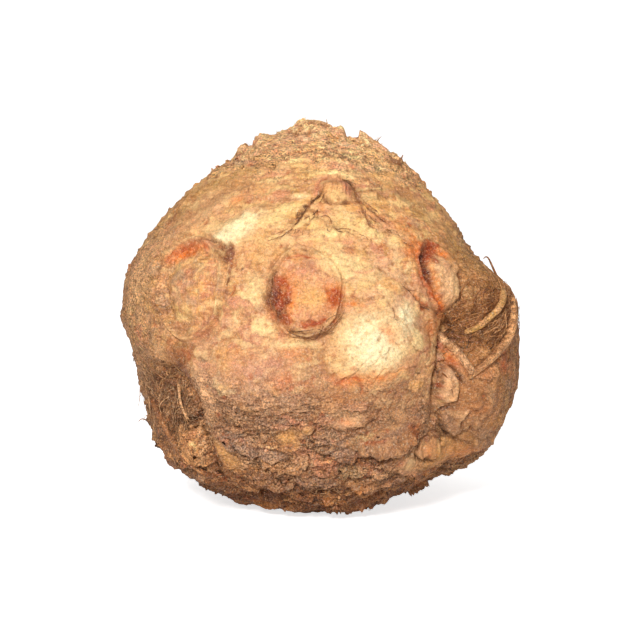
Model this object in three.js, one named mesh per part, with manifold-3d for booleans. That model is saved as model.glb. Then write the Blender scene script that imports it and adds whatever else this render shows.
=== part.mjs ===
// A celeriac: the swollen stem tuber, its trimmed side roots and the cut bases of its leaf stalks.
// Millimetres, +Z up. The origin is the middle of the trimmed underside, and -Y is the front.
import * as THREE from "three";
import { mergeVertices } from "three/addons/utils/BufferGeometryUtils.js";
import Module from "manifold-3d";

const wasm = await Module();
wasm.setup();

// ---------------------------------------------------------------- driving dimensions

const CORE_HEIGHT = 60; // the tuber's centre above the flat underside
const SKIN_RADIUS = 60; // the radius at which lengths along the skin are measured
const GRID = 26; // cells along each edge of the box that is blown up into the tuber
const FRONT_WEIGHT = 0.4; // how far the cells crowd towards the front, from 0 to 1
const ROOT_GAP = 0.45; // clearance between the tuber and a separate piece that grows on it
const FAR_SIDE = 9; // the reach that a feature reports on the far side of the tuber

// Radii of the tuber from its centre, every 15 degrees from straight down to straight up.
const MERIDIANS = {
  front: [60.5, 61.5, 61, 60.5, 58.5, 57, 56, 57.5, 57.5, 56.5, 56.5, 57, 57],
  right: [60.5, 61.8, 61.6, 59.6, 58.2, 56, 53.5, 54.2, 52.8, 52.2, 55, 57, 57],
  back: [60.5, 61.5, 61, 61, 59.5, 58, 57, 57, 56.5, 55.5, 56, 57, 57],
  left: [60.5, 61.8, 63.2, 64.8, 62.8, 59.8, 61.6, 61.4, 59.2, 57.4, 57, 57, 57],
};

// Places are an azimuth from the front towards the right and an elevation, in degrees.
// Sizes are half widths along the skin in millimetres: across, then up. turn is in degrees.
// power sets the profile of a swelling: 2 is a soft hill, and 4 a flat-topped one.
const SWELLINGS = {
  pale_boss: { at: [17, -0.5], size: [15, 14], height: 4.8, power: 3.2 },
  front_bulge: { at: [-19, -13.5], size: [19, 12.5], height: 3.8, power: 3 },
  right_lobe: { at: [76, -13], size: [30, 34], height: 8.9, power: 6 },
  low_left_lobe: { at: [-48, -38], size: [16, 13], height: 2, power: 2.6 },
  low_right_lobe: { at: [30, -42], size: [15, 8], turn: 10, height: 2, power: 2.6 },
  side_bud: { at: [8, 48.7], size: [4.2, 4.2], height: 2.6, power: 2.4 },
  pale_shoulder: { at: [-24, 34], size: [13, 6], turn: 25, height: 1.6, power: 2.2 },
  tongue: { at: [27, -26.5], size: [9.5, 4.2], turn: 14, height: 2, power: 3 },
  scale_plate: { at: [38, -21.5], size: [5.5, 4], turn: -20, height: 1.4, power: 3 },
  left_nodule: { at: [-84, 1], size: [3.6, 3.6], height: 1.2, power: 2.2 },
  back_boss: { at: [-172, -8], size: [17, 14], height: 4.2, power: 3 },
  back_left_lobe: { at: [-128, -14], size: [17, 16], height: 3.2, power: 3 },
  back_right_lobe: { at: [132, -24], size: [18, 17], height: 4, power: 3 },
};

// Hollows where fine roots spring from the creases.
const ROOT_HOLLOWS = {
  right: { at: [49, 1], size: [9, 7.5], height: -3.6, power: 2.6 },
  left: { at: [-47, -19], size: [8, 7], height: -3, power: 2.6 },
  back_right: { at: [150, -14], size: [8, 8], height: -2.6, power: 2.6 },
  back_left: { at: [-150, -12], size: [7, 8], height: -2.4, power: 2.6 },
};

// Round scars of shed stalks and cut roots: a sunk floor, a raised middle, a rim and a moat round it.
const SCARS = {
  centre: { at: [-5, 14.8], size: [11.5, 12.6], sink: 2, middle: 1.6, rim: 0.8, rimWidth: 2, moat: 0.6 },
  right: {
    at: [41.5, 17.6],
    size: [9.5, 13],
    turn: -4,
    sink: 2.2,
    middle: 2.8,
    rim: 0.8,
    rimWidth: 2,
    moat: 0.6,
  },
  left: {
    at: [-39.5, 13],
    size: [13, 14.5],
    turn: 6,
    sink: 1.6,
    middle: 2,
    rim: 0.8,
    rimWidth: 2.2,
    moat: 0.8,
  },
  oval_stub: {
    at: [40.7, -13.7],
    size: [3.6, 5.4],
    turn: 5,
    sink: 0,
    middle: 1.6,
    rim: 1,
    rimWidth: 1.6,
    moat: 1.2,
  },
  round_stub: { at: [36, -30.8], size: [4.4, 4.2], sink: 0, middle: 0.8, rim: 1, rimWidth: 1.4, moat: 0.8 },
  far_right: { at: [112, 20], size: [9, 11], sink: 2, middle: 2.2, rim: 0.8, rimWidth: 2.2, moat: 0.8 },
  back: {
    at: [163, 14],
    size: [12, 12.5],
    turn: 15,
    sink: 1.8,
    middle: 2.2,
    rim: 0.8,
    rimWidth: 2.4,
    moat: 0.8,
  },
  far_left: {
    at: [-112, 18],
    size: [11, 12],
    turn: -8,
    sink: 2,
    middle: 2.4,
    rim: 0.8,
    rimWidth: 2.4,
    moat: 0.9,
  },
  back_stub: { at: [-138, -24], size: [5, 6], sink: 0, middle: 1, rim: 1, rimWidth: 2, moat: 1 },
};

// Creases: the places that each runs through, its depth and its half width.
const CREASES = {
  bud_left: { depth: 1.3, width: 2.4, through: [[2, 50], [-4, 42], [-9, 35], [-15, 28.5]] },
  bud_right: { depth: 1.2, width: 2.4, through: [[15, 51.5], [20, 43], [24, 36], [28, 29]] },
  bud_top: { depth: 0.6, width: 2, through: [[2, 50], [6, 54.5], [11, 55], [15, 51.5]] },
  right_lobe: {
    depth: 4.2,
    width: 3,
    through: [
      [56, 16], [47, 9], [40, 4], [36.5, -4], [35.2, -12],
      [35.2, -20], [31.5, -27], [26, -35], [18, -43], [8, -49],
    ],
  },
  left_lobe: {
    depth: 3.8,
    width: 2.8,
    through: [
      [-68, -10], [-56, -12], [-46, -13], [-40.5, -18], [-40, -26], [-41.5, -35], [-40, -46], [-34, -56],
    ],
  },
  underside: {
    depth: 2.2,
    width: 2,
    through: [[-40, -50], [-22, -44], [-8, -47], [8, -49], [24, -48], [40, -52]],
  },
  back_right: { depth: 3.8, width: 2.8, through: [[150, 30], [146, 12], [150, -6], [152, -24], [160, -44]] },
  back_left: {
    depth: 3.4,
    width: 2.8,
    through: [[-150, 34], [-146, 14], [-150, -4], [-148, -30], [-156, -50]],
  },
  far_left: { depth: 3, width: 2.8, through: [[-88, 28], [-92, 8], [-98, -12], [-100, -34], [-108, -50]] },
  far_right: { depth: 3, width: 2.6, through: [[100, 4], [104, -12], [100, -30], [106, -48]] },
};

// Side roots: places with the height of the root's middle line above the skin, and end radii.
const SIDE_ROOTS = [
  {
    radii: [2.2, 1.9],
    through: [[35.5, 1.5, 0.4], [38, -2, 1.2], [41, -5.6, 1.7], [44.5, -8.8, 1.8], [47.2, -11.2, 1.2]],
  },
  {
    radii: [2, 1.3],
    through: [[49, -12.8, 0.9], [52, -9.8, 1.6], [56, -7, 1.8], [61, -3.6, 1.7], [66, 0, 1.5], [73, 5, 0.9]],
  },
  {
    radii: [1.6, 1.1],
    through: [[46, -2.5, 1.2], [51, 0.6, 2.2], [57, 4, 2.4], [63, 8, 1.6], [69, 12, 0.8]],
  },
  { radii: [1.1, 0.8], through: [[-60, -9, 0.4], [-52, -13, 1.2], [-46, -19, 1.6], [-43, -28, 0.9]] },
  { radii: [1.7, 1.2], through: [[-68, -22, 0.5], [-59, -30, 1.1], [-50, -38, 1.2], [-43, -46, 0.8]] },
  { radii: [2.1, 1.3], through: [[150, 24, 0.6], [146, 8, 1.4], [149, -8, 1.6], [152, -24, 1]] },
  { radii: [1.8, 1.2], through: [[160, -10, 0.5], [153, -30, 1.2], [142, -34, 1.4], [129, -42, 0.8]] },
  { radii: [1.9, 1.2], through: [[-151, 28, 0.6], [-146, 12, 1.4], [-149, -6, 1.5], [-147, -26, 0.9]] },
  { radii: [1.8, 1.1], through: [[-99, -16, 0.6], [-105, -28, 1.2], [-115, -38, 1.3], [-127, -48, 0.7]] },
  { radii: [1.9, 1.2], through: [[100, 6, 0.6], [104, -12, 1.4], [101, -28, 1.4], [108, -44, 0.8]] },
];
const ROOT_SIDES = 7;
const ROOT_STEP = 3.2; // length of one step along a side root

// Roots trimmed short under the tuber: place, radius at the skin and length out of it.
const ROOT_STUMPS = [
  { at: [-38, -56], radius: 3.2, length: 2.2 },
  { at: [-15, -60], radius: 3.6, length: 2.4 },
  { at: [9, -62], radius: 3, length: 2.6 },
  { at: [31, -57], radius: 3.4, length: 2.4 },
  { at: [70, -58], radius: 3.6, length: 2.4 },
  { at: [115, -58], radius: 3.2, length: 2.6 },
  { at: [160, -60], radius: 3.6, length: 2.4 },
  { at: [-150, -60], radius: 3.4, length: 2.6 },
  { at: [-95, -58], radius: 3.8, length: 2.2 },
];

// Cut leaf-stalk bases. round is the angle about the crown and out the angle from its axis, in
// degrees; the rest are millimetres: across, through, and the height left above the skin.
const CROWN_LEAN = 9; // how far the crown's axis leans back from upright
const LEAF_BASES = [
  { round: 352, out: 21, width: 13, thick: 2.4, height: 4.6 },
  { round: 30, out: 24, width: 11, thick: 2.4, height: 4.8 },
  { round: 66, out: 23, width: 11, thick: 2.4, height: 2.8 },
  { round: 102, out: 23, width: 11, thick: 2.2, height: 2.8 },
  { round: 138, out: 23, width: 12, thick: 2.4, height: 3 },
  { round: 175, out: 22, width: 12, thick: 2.4, height: 4 },
  { round: 212, out: 23, width: 12, thick: 2.2, height: 3.2 },
  { round: 248, out: 23, width: 11, thick: 2.4, height: 2.8 },
  { round: 283, out: 24, width: 11, thick: 2.2, height: 2.8 },
  { round: 318, out: 23, width: 11, thick: 2.4, height: 3 },
  { round: 10, out: 13, width: 9, thick: 2.2, height: 4.8 },
  { round: 68, out: 13, width: 9, thick: 2.2, height: 3.6 },
  { round: 128, out: 13, width: 9, thick: 2, height: 3.8 },
  { round: 188, out: 13, width: 9, thick: 2.2, height: 4 },
  { round: 248, out: 13, width: 9, thick: 2, height: 3.8 },
  { round: 308, out: 13, width: 9, thick: 2.2, height: 4.6 },
];
const HEART = { radius: 4.2, height: 4.2 }; // the cut bundle of young stalks in the crown's middle
const SUNK = 2.2; // how far a piece is set into the skin before its seat is cut

const COLOURS = { tuber: 0xd29f6b, side_root: 0xb98a58, root_stump: 0xa9794c, leaf_base: 0xd8ab74 };

// ---------------------------------------------------------------- the tuber's form

const radians = THREE.MathUtils.degToRad;

/** The unit vector from the tuber's centre to a place. */
function direction([azimuth, elevation]) {
  const a = radians(azimuth);
  const e = radians(elevation);
  return new THREE.Vector3(Math.cos(e) * Math.sin(a), -Math.cos(e) * Math.cos(a), Math.sin(e));
}

/** Catmull-Rom value through evenly spaced values, at t counted in steps. */
function throughValues(values, t) {
  const last = values.length - 1;
  const i = Math.min(Math.max(Math.floor(t), 0), last - 1);
  const f = t - i;
  const v = [i - 1, i, i + 1, i + 2].map((k) => values[Math.min(Math.max(k, 0), last)]);
  const bend = 2 * v[0] - 5 * v[1] + 4 * v[2] - v[3] + f * (3 * (v[1] - v[2]) + v[3] - v[0]);
  return v[1] + 0.5 * f * (v[2] - v[0] + f * bend);
}

/** The plain body: the four meridians blended by the squared cosine of the azimuth between them. */
function bodyRadius(d) {
  const t = (THREE.MathUtils.radToDeg(Math.asin(THREE.MathUtils.clamp(d.z, -1, 1))) + 90) / 15;
  const level = Math.max(Math.hypot(d.x, d.y), 1e-9);
  const across = d.x / level;
  const forward = -d.y / level;
  const side = across > 0 ? MERIDIANS.right : MERIDIANS.left;
  const face = forward > 0 ? MERIDIANS.front : MERIDIANS.back;
  return across ** 2 * throughValues(side, t) + forward ** 2 * throughValues(face, t);
}

/** Slow irregular waves over the sphere, between about -1 and 1, from nested sines. */
function ripple(d, f, seed) {
  const a = Math.sin(f * d.x + 1.3 * Math.sin(0.9 * f * d.y + seed) + seed);
  const b = Math.sin(1.1 * f * d.y + 1.3 * Math.sin(0.8 * f * d.z + 2 * seed) + 1.7 * seed);
  const c = Math.sin(1.2 * f * d.z + 1.3 * Math.sin(f * d.x + 3 * seed) + 2.3 * seed);
  return 0.5 * (a * b + c);
}

/** How far d is from a feature's middle: 1 is its edge, which wavers a little. */
function reach(d, { at, size, turn = 0 }) {
  const c = direction(at);
  const east = new THREE.Vector3(Math.cos(radians(at[0])), Math.sin(radians(at[0])), 0);
  const north = new THREE.Vector3().crossVectors(c, east);
  const facing = d.dot(c);
  if (facing < 0.15) return FAR_SIDE;
  const [cos, sin] = [Math.cos(radians(turn)), Math.sin(radians(turn))];
  const u = SKIN_RADIUS * Math.atan2(d.dot(east) * cos + d.dot(north) * sin, facing);
  const v = SKIN_RADIUS * Math.atan2(d.dot(north) * cos - d.dot(east) * sin, facing);
  const angle = Math.atan2(v, u);
  const waver = 1 + 0.05 * Math.sin(2 * angle + at[0]) + 0.03 * Math.sin(5 * angle + at[1]);
  return Math.hypot(u / size[0], v / size[1]) * waver;
}

/** A swelling, or a hollow where its height is negative. */
const swelling = (d, s) => s.height * Math.exp(-(reach(d, s) ** s.power));

/** A round scar's relief. */
function scar(d, s) {
  const r = reach(d, s);
  if (r > 2.5) return 0;
  const half = (s.size[0] + s.size[1]) / 2;
  const floor = -s.sink / (1 + Math.exp(((r - 0.9) * half) / 0.9));
  const rim = s.rim * Math.exp(-((((r - 1) * half) / s.rimWidth) ** 2));
  const moat = -s.moat * Math.exp(-((((r - 1.17) * half) / s.rimWidth) ** 2));
  return floor + rim + moat + s.middle * Math.exp(-((r / 0.62) ** 4));
}

/** Unit vectors along a smooth line through places. */
function lineOver(places, steps = 6) {
  const ends = places.map(direction);
  const count = (ends.length - 1) * steps;
  return Array.from({ length: count + 1 }, (_, k) => {
    const t = k / steps;
    const at = (axis) => throughValues(ends.map((e) => e[axis]), t);
    return new THREE.Vector3(at("x"), at("y"), at("z")).normalize();
  });
}

const creases = Object.values(CREASES).map((c) => ({ ...c, line: lineOver(c.through) }));

/** A crease's relief: deepest on its line, fading at both ends. */
function crease(d, { line, depth, width }) {
  let nearest = Infinity;
  let share = 0;
  for (let i = 0; i + 1 < line.length; i++) {
    const step = line[i + 1].clone().sub(line[i]);
    const t = THREE.MathUtils.clamp(d.clone().sub(line[i]).dot(step) / step.lengthSq(), 0, 1);
    const gap = SKIN_RADIUS * line[i].clone().addScaledVector(step, t).normalize().distanceTo(d);
    if (gap < nearest) {
      nearest = gap;
      share = (i + t) / (line.length - 1);
    }
  }
  if (nearest > 4 * width) return 0;
  const taper = Math.sqrt(Math.sin(Math.PI * THREE.MathUtils.clamp(share, 0.02, 0.98)));
  return -depth * taper * Math.exp(-((nearest / width) ** 2));
}

/** The tuber's radius in the direction d. */
function tuberRadius(d) {
  const drift = new THREE.Vector3(ripple(d, 7, 1), ripple(d, 7, 2), ripple(d, 7, 3));
  const w = d.clone().addScaledVector(drift, 0.02).normalize();
  let r = bodyRadius(d) + 0.8 * ripple(d, 4.5, 0.6) + 0.5 * ripple(d, 10, 1.9);
  for (const s of Object.values(SWELLINGS)) r += swelling(w, s);
  for (const s of Object.values(ROOT_HOLLOWS)) r += swelling(w, s);
  for (const s of Object.values(SCARS)) r += scar(w, s);
  for (const c of creases) r += crease(w, c);
  return r;
}

/** A point above the skin at a place, seen from the tuber's centre. */
const overSkin = (d, height) => d.clone().multiplyScalar(tuberRadius(d) + height);

/** Directions of a box blown up into a sphere, crowded towards the front, with their radii. */
function tuberGrid() {
  const box = new THREE.BoxGeometry(2, 2, 2, GRID, GRID, GRID);
  box.deleteAttribute("normal");
  box.deleteAttribute("uv");
  const merged = mergeVertices(box, 1e-4);
  const place = merged.getAttribute("position");
  const even = (x) => Math.tan((x * Math.PI) / 4);
  const directions = [];
  for (let i = 0; i < place.count; i++) {
    const d = new THREE.Vector3(even(place.getX(i)), even(place.getY(i)), even(place.getZ(i)));
    d.normalize().add(new THREE.Vector3(0, -FRONT_WEIGHT, 0)).normalize();
    directions.push({ d, r: tuberRadius(d) });
  }
  return { index: merged.index, directions };
}

const grid = tuberGrid();

/** The tuber's closed surface, grown outwards by a gap. */
function tuberSurface(gap) {
  const points = grid.directions.flatMap(({ d, r }) => d.clone().multiplyScalar(r + gap).toArray());
  const surface = new THREE.BufferGeometry();
  surface.setAttribute("position", new THREE.Float32BufferAttribute(points, 3));
  return surface.setIndex(grid.index);
}

// ---------------------------------------------------------------- solids

/** A geometry as a manifold solid. */
function solidOf(geometry) {
  const bare = geometry.clone();
  for (const name of ["normal", "uv"]) bare.deleteAttribute(name);
  const merged = mergeVertices(bare, 1e-4);
  const position = merged.getAttribute("position");
  return new wasm.Manifold(
    new wasm.Mesh({
      numProp: 3,
      vertProperties: new Float32Array(position.array),
      triVerts: new Uint32Array(merged.index.array),
    }),
  );
}

/** A manifold solid's largest body as a geometry. */
function geometryOf(solid) {
  const largest = solid.decompose().reduce((a, b) => (b.volume() > a.volume() ? b : a));
  const { vertProperties, triVerts } = largest.getMesh();
  const geometry = new THREE.BufferGeometry();
  geometry.setAttribute("position", new THREE.BufferAttribute(vertProperties, 3));
  geometry.setIndex(new THREE.BufferAttribute(triVerts, 1));
  geometry.computeVertexNormals();
  return geometry;
}

const FLOOR_SIZE = 4 * SKIN_RADIUS;
const below = new THREE.BoxGeometry(FLOOR_SIZE, FLOOR_SIZE, FLOOR_SIZE);
below.translate(0, 0, -CORE_HEIGHT - FLOOR_SIZE / 2);
const ground = solidOf(below);
const seat = solidOf(tuberSurface(ROOT_GAP));

/** Bends a geometry that stands along +Y from 0 to 1 onto a curve, without twist. */
function bendAlong(geometry, curve, steps) {
  const frames = curve.computeFrenetFrames(steps, false);
  const middle = curve.getSpacedPoints(steps);
  const place = geometry.getAttribute("position");
  for (let i = 0; i < place.count; i++) {
    const k = Math.round(place.getY(i) * steps);
    const p = middle[k].clone();
    p.addScaledVector(frames.normals[k], place.getX(i));
    p.addScaledVector(frames.binormals[k], -place.getZ(i));
    place.setXYZ(i, p.x, p.y, p.z);
  }
  return geometry;
}

/** A tapering side root that lies on the tuber along its places. */
function sideRoot({ radii, through }) {
  const knots = through.map(([a, e, height]) => overSkin(direction([a, e]), height));
  const curve = new THREE.CatmullRomCurve3(knots);
  const steps = Math.round(curve.getLength() / ROOT_STEP);
  const stem = new THREE.CylinderGeometry(radii[1], radii[0], 1, ROOT_SIDES, steps);
  stem.translate(0, 0.5, 0);
  const place = stem.getAttribute("position");
  for (let i = 0; i < place.count; i++) {
    const swell = 1 + 0.1 * Math.sin(place.getY(i) * 17 + through[0][0]);
    place.setX(i, place.getX(i) * swell);
    place.setZ(i, place.getZ(i) * swell);
  }
  return geometryOf(solidOf(bendAlong(stem, curve, steps)).subtract(seat).subtract(ground));
}

/** Stands a geometry made along +Z on the skin, its foot sunk in and its +Y side towards up. */
function standOnSkin(geometry, d, up) {
  const out = d.clone();
  const across = new THREE.Vector3().crossVectors(up, out).normalize();
  const inwards = new THREE.Vector3().crossVectors(out, across);
  const matrix = new THREE.Matrix4().makeBasis(across, inwards, out).setPosition(overSkin(d, -SUNK));
  return geometry.applyMatrix4(matrix);
}

/** A root cut short under the tuber, with a rough end. */
function rootStump({ at, radius, length }) {
  const height = length + SUNK;
  const stump = new THREE.CylinderGeometry(radius * 0.8, radius, height, 9, 2);
  stump.rotateX(Math.PI / 2).translate(0, 0, height / 2);
  const place = stump.getAttribute("position");
  for (let i = 0; i < place.count; i++) {
    const angle = Math.atan2(place.getY(i), place.getX(i));
    const swell = 1 + 0.12 * Math.sin(2 * angle + at[0]) + 0.06 * Math.sin(3 * angle);
    place.setXYZ(i, place.getX(i) * swell, place.getY(i) * swell, place.getZ(i));
  }
  standOnSkin(stump, direction(at), new THREE.Vector3(0, 0, 1));
  return geometryOf(solidOf(stump).subtract(seat).subtract(ground));
}

/** The crown's own frame, leaning back from upright. */
const crownTilt = new THREE.Matrix4().makeRotationX(-radians(CROWN_LEAN));

/** A direction given by its angle about the crown, from the front, and its angle from the axis. */
function aboutCrown(round, out) {
  return direction([round, 90 - out]).transformDirection(crownTilt);
}

/** A leaf stalk's base, cut off raggedly: a curved slab that wraps round the crown. */
function leafBase({ round, out, width, thick, height }) {
  const tall = height + SUNK;
  const slab = new THREE.BoxGeometry(width, thick, tall, 8, 1, 3);
  slab.translate(0, 0, tall / 2);
  const place = slab.getAttribute("position");
  const bend = SKIN_RADIUS * Math.sin(radians(out)) * 0.75;
  for (let i = 0; i < place.count; i++) {
    const [x, y, z] = [place.getX(i), place.getY(i), place.getZ(i)];
    const share = x / width;
    const thin = 1 - 1.6 * share ** 2;
    const ragged = 1 - 0.9 * share ** 2 + 0.13 * Math.sin(11 * share + round) + 0.08 * Math.sin(23 * share);
    const level = z <= 0 ? 0 : z * ragged;
    const leanOut = 0.12 * level;
    const angle = x / bend;
    const radius = bend - y * thin + leanOut;
    place.setXYZ(i, radius * Math.sin(angle), bend - radius * Math.cos(angle), level);
  }
  standOnSkin(slab, aboutCrown(round, out), aboutCrown(0, 0));
  return geometryOf(solidOf(slab).subtract(seat));
}

/** The cut bundle of the youngest stalks. */
function heart() {
  const height = HEART.height + SUNK;
  const bundle = new THREE.CylinderGeometry(HEART.radius * 0.8, HEART.radius, height, 12, 2);
  bundle.rotateX(Math.PI / 2).translate(0, 0, height / 2);
  const place = bundle.getAttribute("position");
  for (let i = 0; i < place.count; i++) {
    const angle = Math.atan2(place.getY(i), place.getX(i));
    const lobes = 1 + 0.14 * Math.cos(3 * angle);
    place.setXYZ(i, place.getX(i) * lobes, place.getY(i) * lobes, place.getZ(i));
  }
  standOnSkin(bundle, aboutCrown(0, 0), new THREE.Vector3(0, 1, 0));
  return geometryOf(solidOf(bundle).subtract(seat));
}

// ---------------------------------------------------------------- the assembly

const plant = new THREE.Group();
plant.position.z = CORE_HEIGHT;

/** Adds one named piece with its own material. */
function add(name, geometry, kind) {
  const material = new THREE.MeshStandardMaterial({ color: COLOURS[kind], roughness: 0.75, metalness: 0 });
  const piece = new THREE.Mesh(geometry, material);
  piece.name = name;
  plant.add(piece);
}

add("tuber", geometryOf(solidOf(tuberSurface(0)).subtract(ground)), "tuber");
SIDE_ROOTS.forEach((root, i) => add(`side_root_${i + 1}`, sideRoot(root), "side_root"));
ROOT_STUMPS.forEach((stump, i) => add(`root_stump_${i + 1}`, rootStump(stump), "root_stump"));
LEAF_BASES.forEach((base, i) => add(`leaf_base_${i + 1}`, leafBase(base), "leaf_base"));
add("crown_heart", heart(), "leaf_base");

const celeriac = new THREE.Group();
celeriac.add(plant);

export default celeriac;
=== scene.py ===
"""A trimmed celeriac: its knobbly tuber, side roots, hair roots, cut root ends and torn leaf bases.

Lengths in this file are millimetres until a mesh is made. A place on the tuber is an azimuth from the
front towards the right and an elevation, both in degrees, seen from the tuber's centre.
"""

from __future__ import annotations

import itertools  # noqa: E402
import logging  # noqa: E402
import math  # noqa: E402
from dataclasses import dataclass, field  # noqa: E402
from enum import Enum  # noqa: E402
from typing import ClassVar  # noqa: E402

import bmesh  # noqa: E402
import bpy  # noqa: E402
import numpy as np  # noqa: E402
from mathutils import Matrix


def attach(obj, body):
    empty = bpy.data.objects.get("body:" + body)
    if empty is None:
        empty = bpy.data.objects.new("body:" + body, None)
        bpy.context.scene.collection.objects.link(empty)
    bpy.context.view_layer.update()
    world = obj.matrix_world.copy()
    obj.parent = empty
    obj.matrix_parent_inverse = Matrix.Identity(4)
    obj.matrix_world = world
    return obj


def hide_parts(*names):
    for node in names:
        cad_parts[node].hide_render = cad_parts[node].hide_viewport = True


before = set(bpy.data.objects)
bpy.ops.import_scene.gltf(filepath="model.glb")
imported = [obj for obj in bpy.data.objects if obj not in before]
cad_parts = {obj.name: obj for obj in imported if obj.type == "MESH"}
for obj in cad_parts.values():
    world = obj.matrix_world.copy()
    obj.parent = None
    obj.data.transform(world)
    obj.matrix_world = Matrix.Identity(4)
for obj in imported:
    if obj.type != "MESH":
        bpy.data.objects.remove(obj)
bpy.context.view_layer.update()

Array = np.ndarray
Place = tuple[float, float]
Point = tuple[float, float, float]
Piece = bpy.types.Object
Material = bpy.types.Material
Socket = bpy.types.NodeSocket
LOG = logging.getLogger("celeriac")

MM = 0.001
BODY = "root"
CORE = np.array([0.0, 0.0, 60.0])
SKIN_RADIUS = 60.0
FAR = 9.0
HORIZON = 0.15  # the cosine of the angle past which a place is out of a feature's reach
MERIDIAN_STEP = 15
PATH_STEPS = 5  # how many straight pieces a line has between two knots
WELD_GAP = 0.002
GROUND_GAP = 0.3
CROWN_LEAN = 9.0
SCATTER = 0.6  # how far scattered things stray, as a share of their patch's half widths
SKIN_SEED, PORE_SEED, PLATE_SEED = 11, 23, 77


# ---------------------------------------------------------------- colours


class Tone(Enum):
    """The colours of the skin, each as red, green and blue from 0 to 255."""

    TAN = (224, 166, 110)
    GOLD = (234, 174, 98)
    CREAM = (252, 220, 150)
    IVORY = (255, 238, 184)
    ROSE = (214, 142, 108)
    ORANGE = (228, 118, 34)
    RUST = (160, 55, 8)
    MAROON = (86, 22, 6)
    OLIVE = (178, 134, 70)
    MOSS = (132, 98, 48)
    BROWN = (156, 106, 66)
    CRUST = (182, 136, 96)
    GREY = (176, 144, 118)
    LOBE = (178, 116, 62)
    UMBER = (106, 62, 34)
    DARK = (54, 28, 14)
    PURPLE = (118, 50, 46)
    PALE_GREEN = (194, 172, 122)
    PALE_TAN = (236, 186, 136)
    FLESH = (226, 192, 138)

    @property
    def linear(self) -> Array:
        """The colour as linear red, green and blue from 0 to 1."""
        share = np.array(self.value) / 255
        return np.where(share <= 0.04045, share / 12.92, ((share + 0.055) / 1.055) ** 2.4)


(TAN, GOLD, CREAM, IVORY, ROSE, ORANGE, RUST, MAROON, OLIVE, MOSS, BROWN, CRUST, GREY, LOBE, UMBER,
 DARK, PURPLE, PALE_GREEN, PALE_TAN, FLESH) = Tone


# ---------------------------------------------------------------- noise and curves


class GradientNoise:
    """Smooth noise in space: the blend of eight random slopes at the corners of each unit cell."""

    def __init__(self, seed: int) -> None:
        """Draws the table of slopes.

        Args:
            seed: picks the noise.
        """
        rng = np.random.default_rng(seed)
        self.order = np.tile(rng.permutation(256), 2)
        slopes = rng.normal(size=(256, 3))
        self.slopes = slopes / np.linalg.norm(slopes, axis=1, keepdims=True)

    def __call__(self, points: Array) -> Array:
        """Returns the noise at each point, between about -0.9 and 0.9."""
        cell = np.floor(points).astype(int)
        part = points - cell
        ease = part**3 * (part * (part * 6 - 15) + 10)
        total = np.zeros(len(points))
        for corner in itertools.product((0, 1), repeat=3):
            i = (cell + corner) & 255
            pick = self.order[self.order[self.order[i[:, 0]] + i[:, 1]] + i[:, 2]]
            slope = ((part - corner) * self.slopes[pick]).sum(axis=1)
            total += slope * np.where(corner, ease, 1 - ease).prod(axis=1)
        return total * 1.5

    def layers(self, points: Array, count: int, keep: float = 0.5) -> Array:
        """Returns the sum of layers of the noise, each twice as fine as the last.

        Args:
            points: where to read it.
            count: how many layers.
            keep: how strong each layer is beside the last.
        """
        return sum(self(points * 2**k + 17 * k) * keep**k for k in range(count))


class CellNoise:
    """Random cells in space: each point knows its nearest seed and how close a border is."""

    def __init__(self, seed: int) -> None:
        """Draws the table of seeds.

        Args:
            seed: picks the cells.
        """
        rng = np.random.default_rng(seed)
        self.order = np.tile(rng.permutation(256), 2)
        self.seeds = rng.random((256, 3))
        self.values = rng.random(256)

    def __call__(self, points: Array) -> tuple[Array, Array, Array, Array]:
        """Returns the distance to the nearest seed, how near a border is, a value and the way to the seed."""
        cell = np.floor(points).astype(int)
        first = np.full(len(points), FAR)
        second = np.full(len(points), FAR)
        value = np.zeros(len(points))
        away = np.zeros((len(points), 3))
        for step in itertools.product((-1, 0, 1), repeat=3):
            i = (cell + step) & 255
            pick = self.order[self.order[self.order[i[:, 0]] + i[:, 1]] + i[:, 2]]
            offset = points - (cell + step + self.seeds[pick])
            gap = np.linalg.norm(offset, axis=1)
            nearer = gap < first
            second = np.where(nearer, first, np.minimum(second, gap))
            first = np.where(nearer, gap, first)
            value = np.where(nearer, self.values[pick], value)
            away = np.where(nearer[:, None], offset, away)
        return first, second - first, value, away


def smooth(low: float, high: float, x: Array) -> Array:
    """Returns 0 below low, 1 above high and an S-shaped rise between them."""
    t = np.clip((x - low) / (high - low), 0, 1)
    return t * t * (3 - 2 * t)


def through_values(values: Array, t: Array) -> Array:
    """Returns the Catmull-Rom curve through evenly spaced values, at t counted in steps.

    Args:
        values: one row for each knot.
        t: where to read the curve.
    """
    last = len(values) - 1
    i = np.clip(np.floor(t).astype(int), 0, last - 1)
    f = (t - i).reshape((-1,) + (1,) * (values.ndim - 1))
    a, b, c, d = (values[np.clip(i + k, 0, last)] for k in (-1, 0, 1, 2))
    return b + 0.5 * f * (c - a + f * (2 * a - 5 * b + 4 * c - d + f * (3 * (b - c) + d - a)))


def direction(azimuth: Array | float, elevation: Array | float) -> Array:
    """Returns unit vectors from the tuber's centre to places.

    Args:
        azimuth: degrees from the front towards the right.
        elevation: degrees up.
    """
    a, e = np.radians(azimuth), np.radians(elevation)
    return np.stack([np.cos(e) * np.sin(a), -np.cos(e) * np.cos(a), np.sin(e) + 0 * a], axis=-1)


def unit(vectors: Array) -> Array:
    """Returns the vectors at length one."""
    return vectors / np.linalg.norm(vectors, axis=-1, keepdims=True)


LEAN = math.radians(CROWN_LEAN)
CROWN_AXIS = np.array([0.0, math.sin(LEAN), math.cos(LEAN)])


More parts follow.
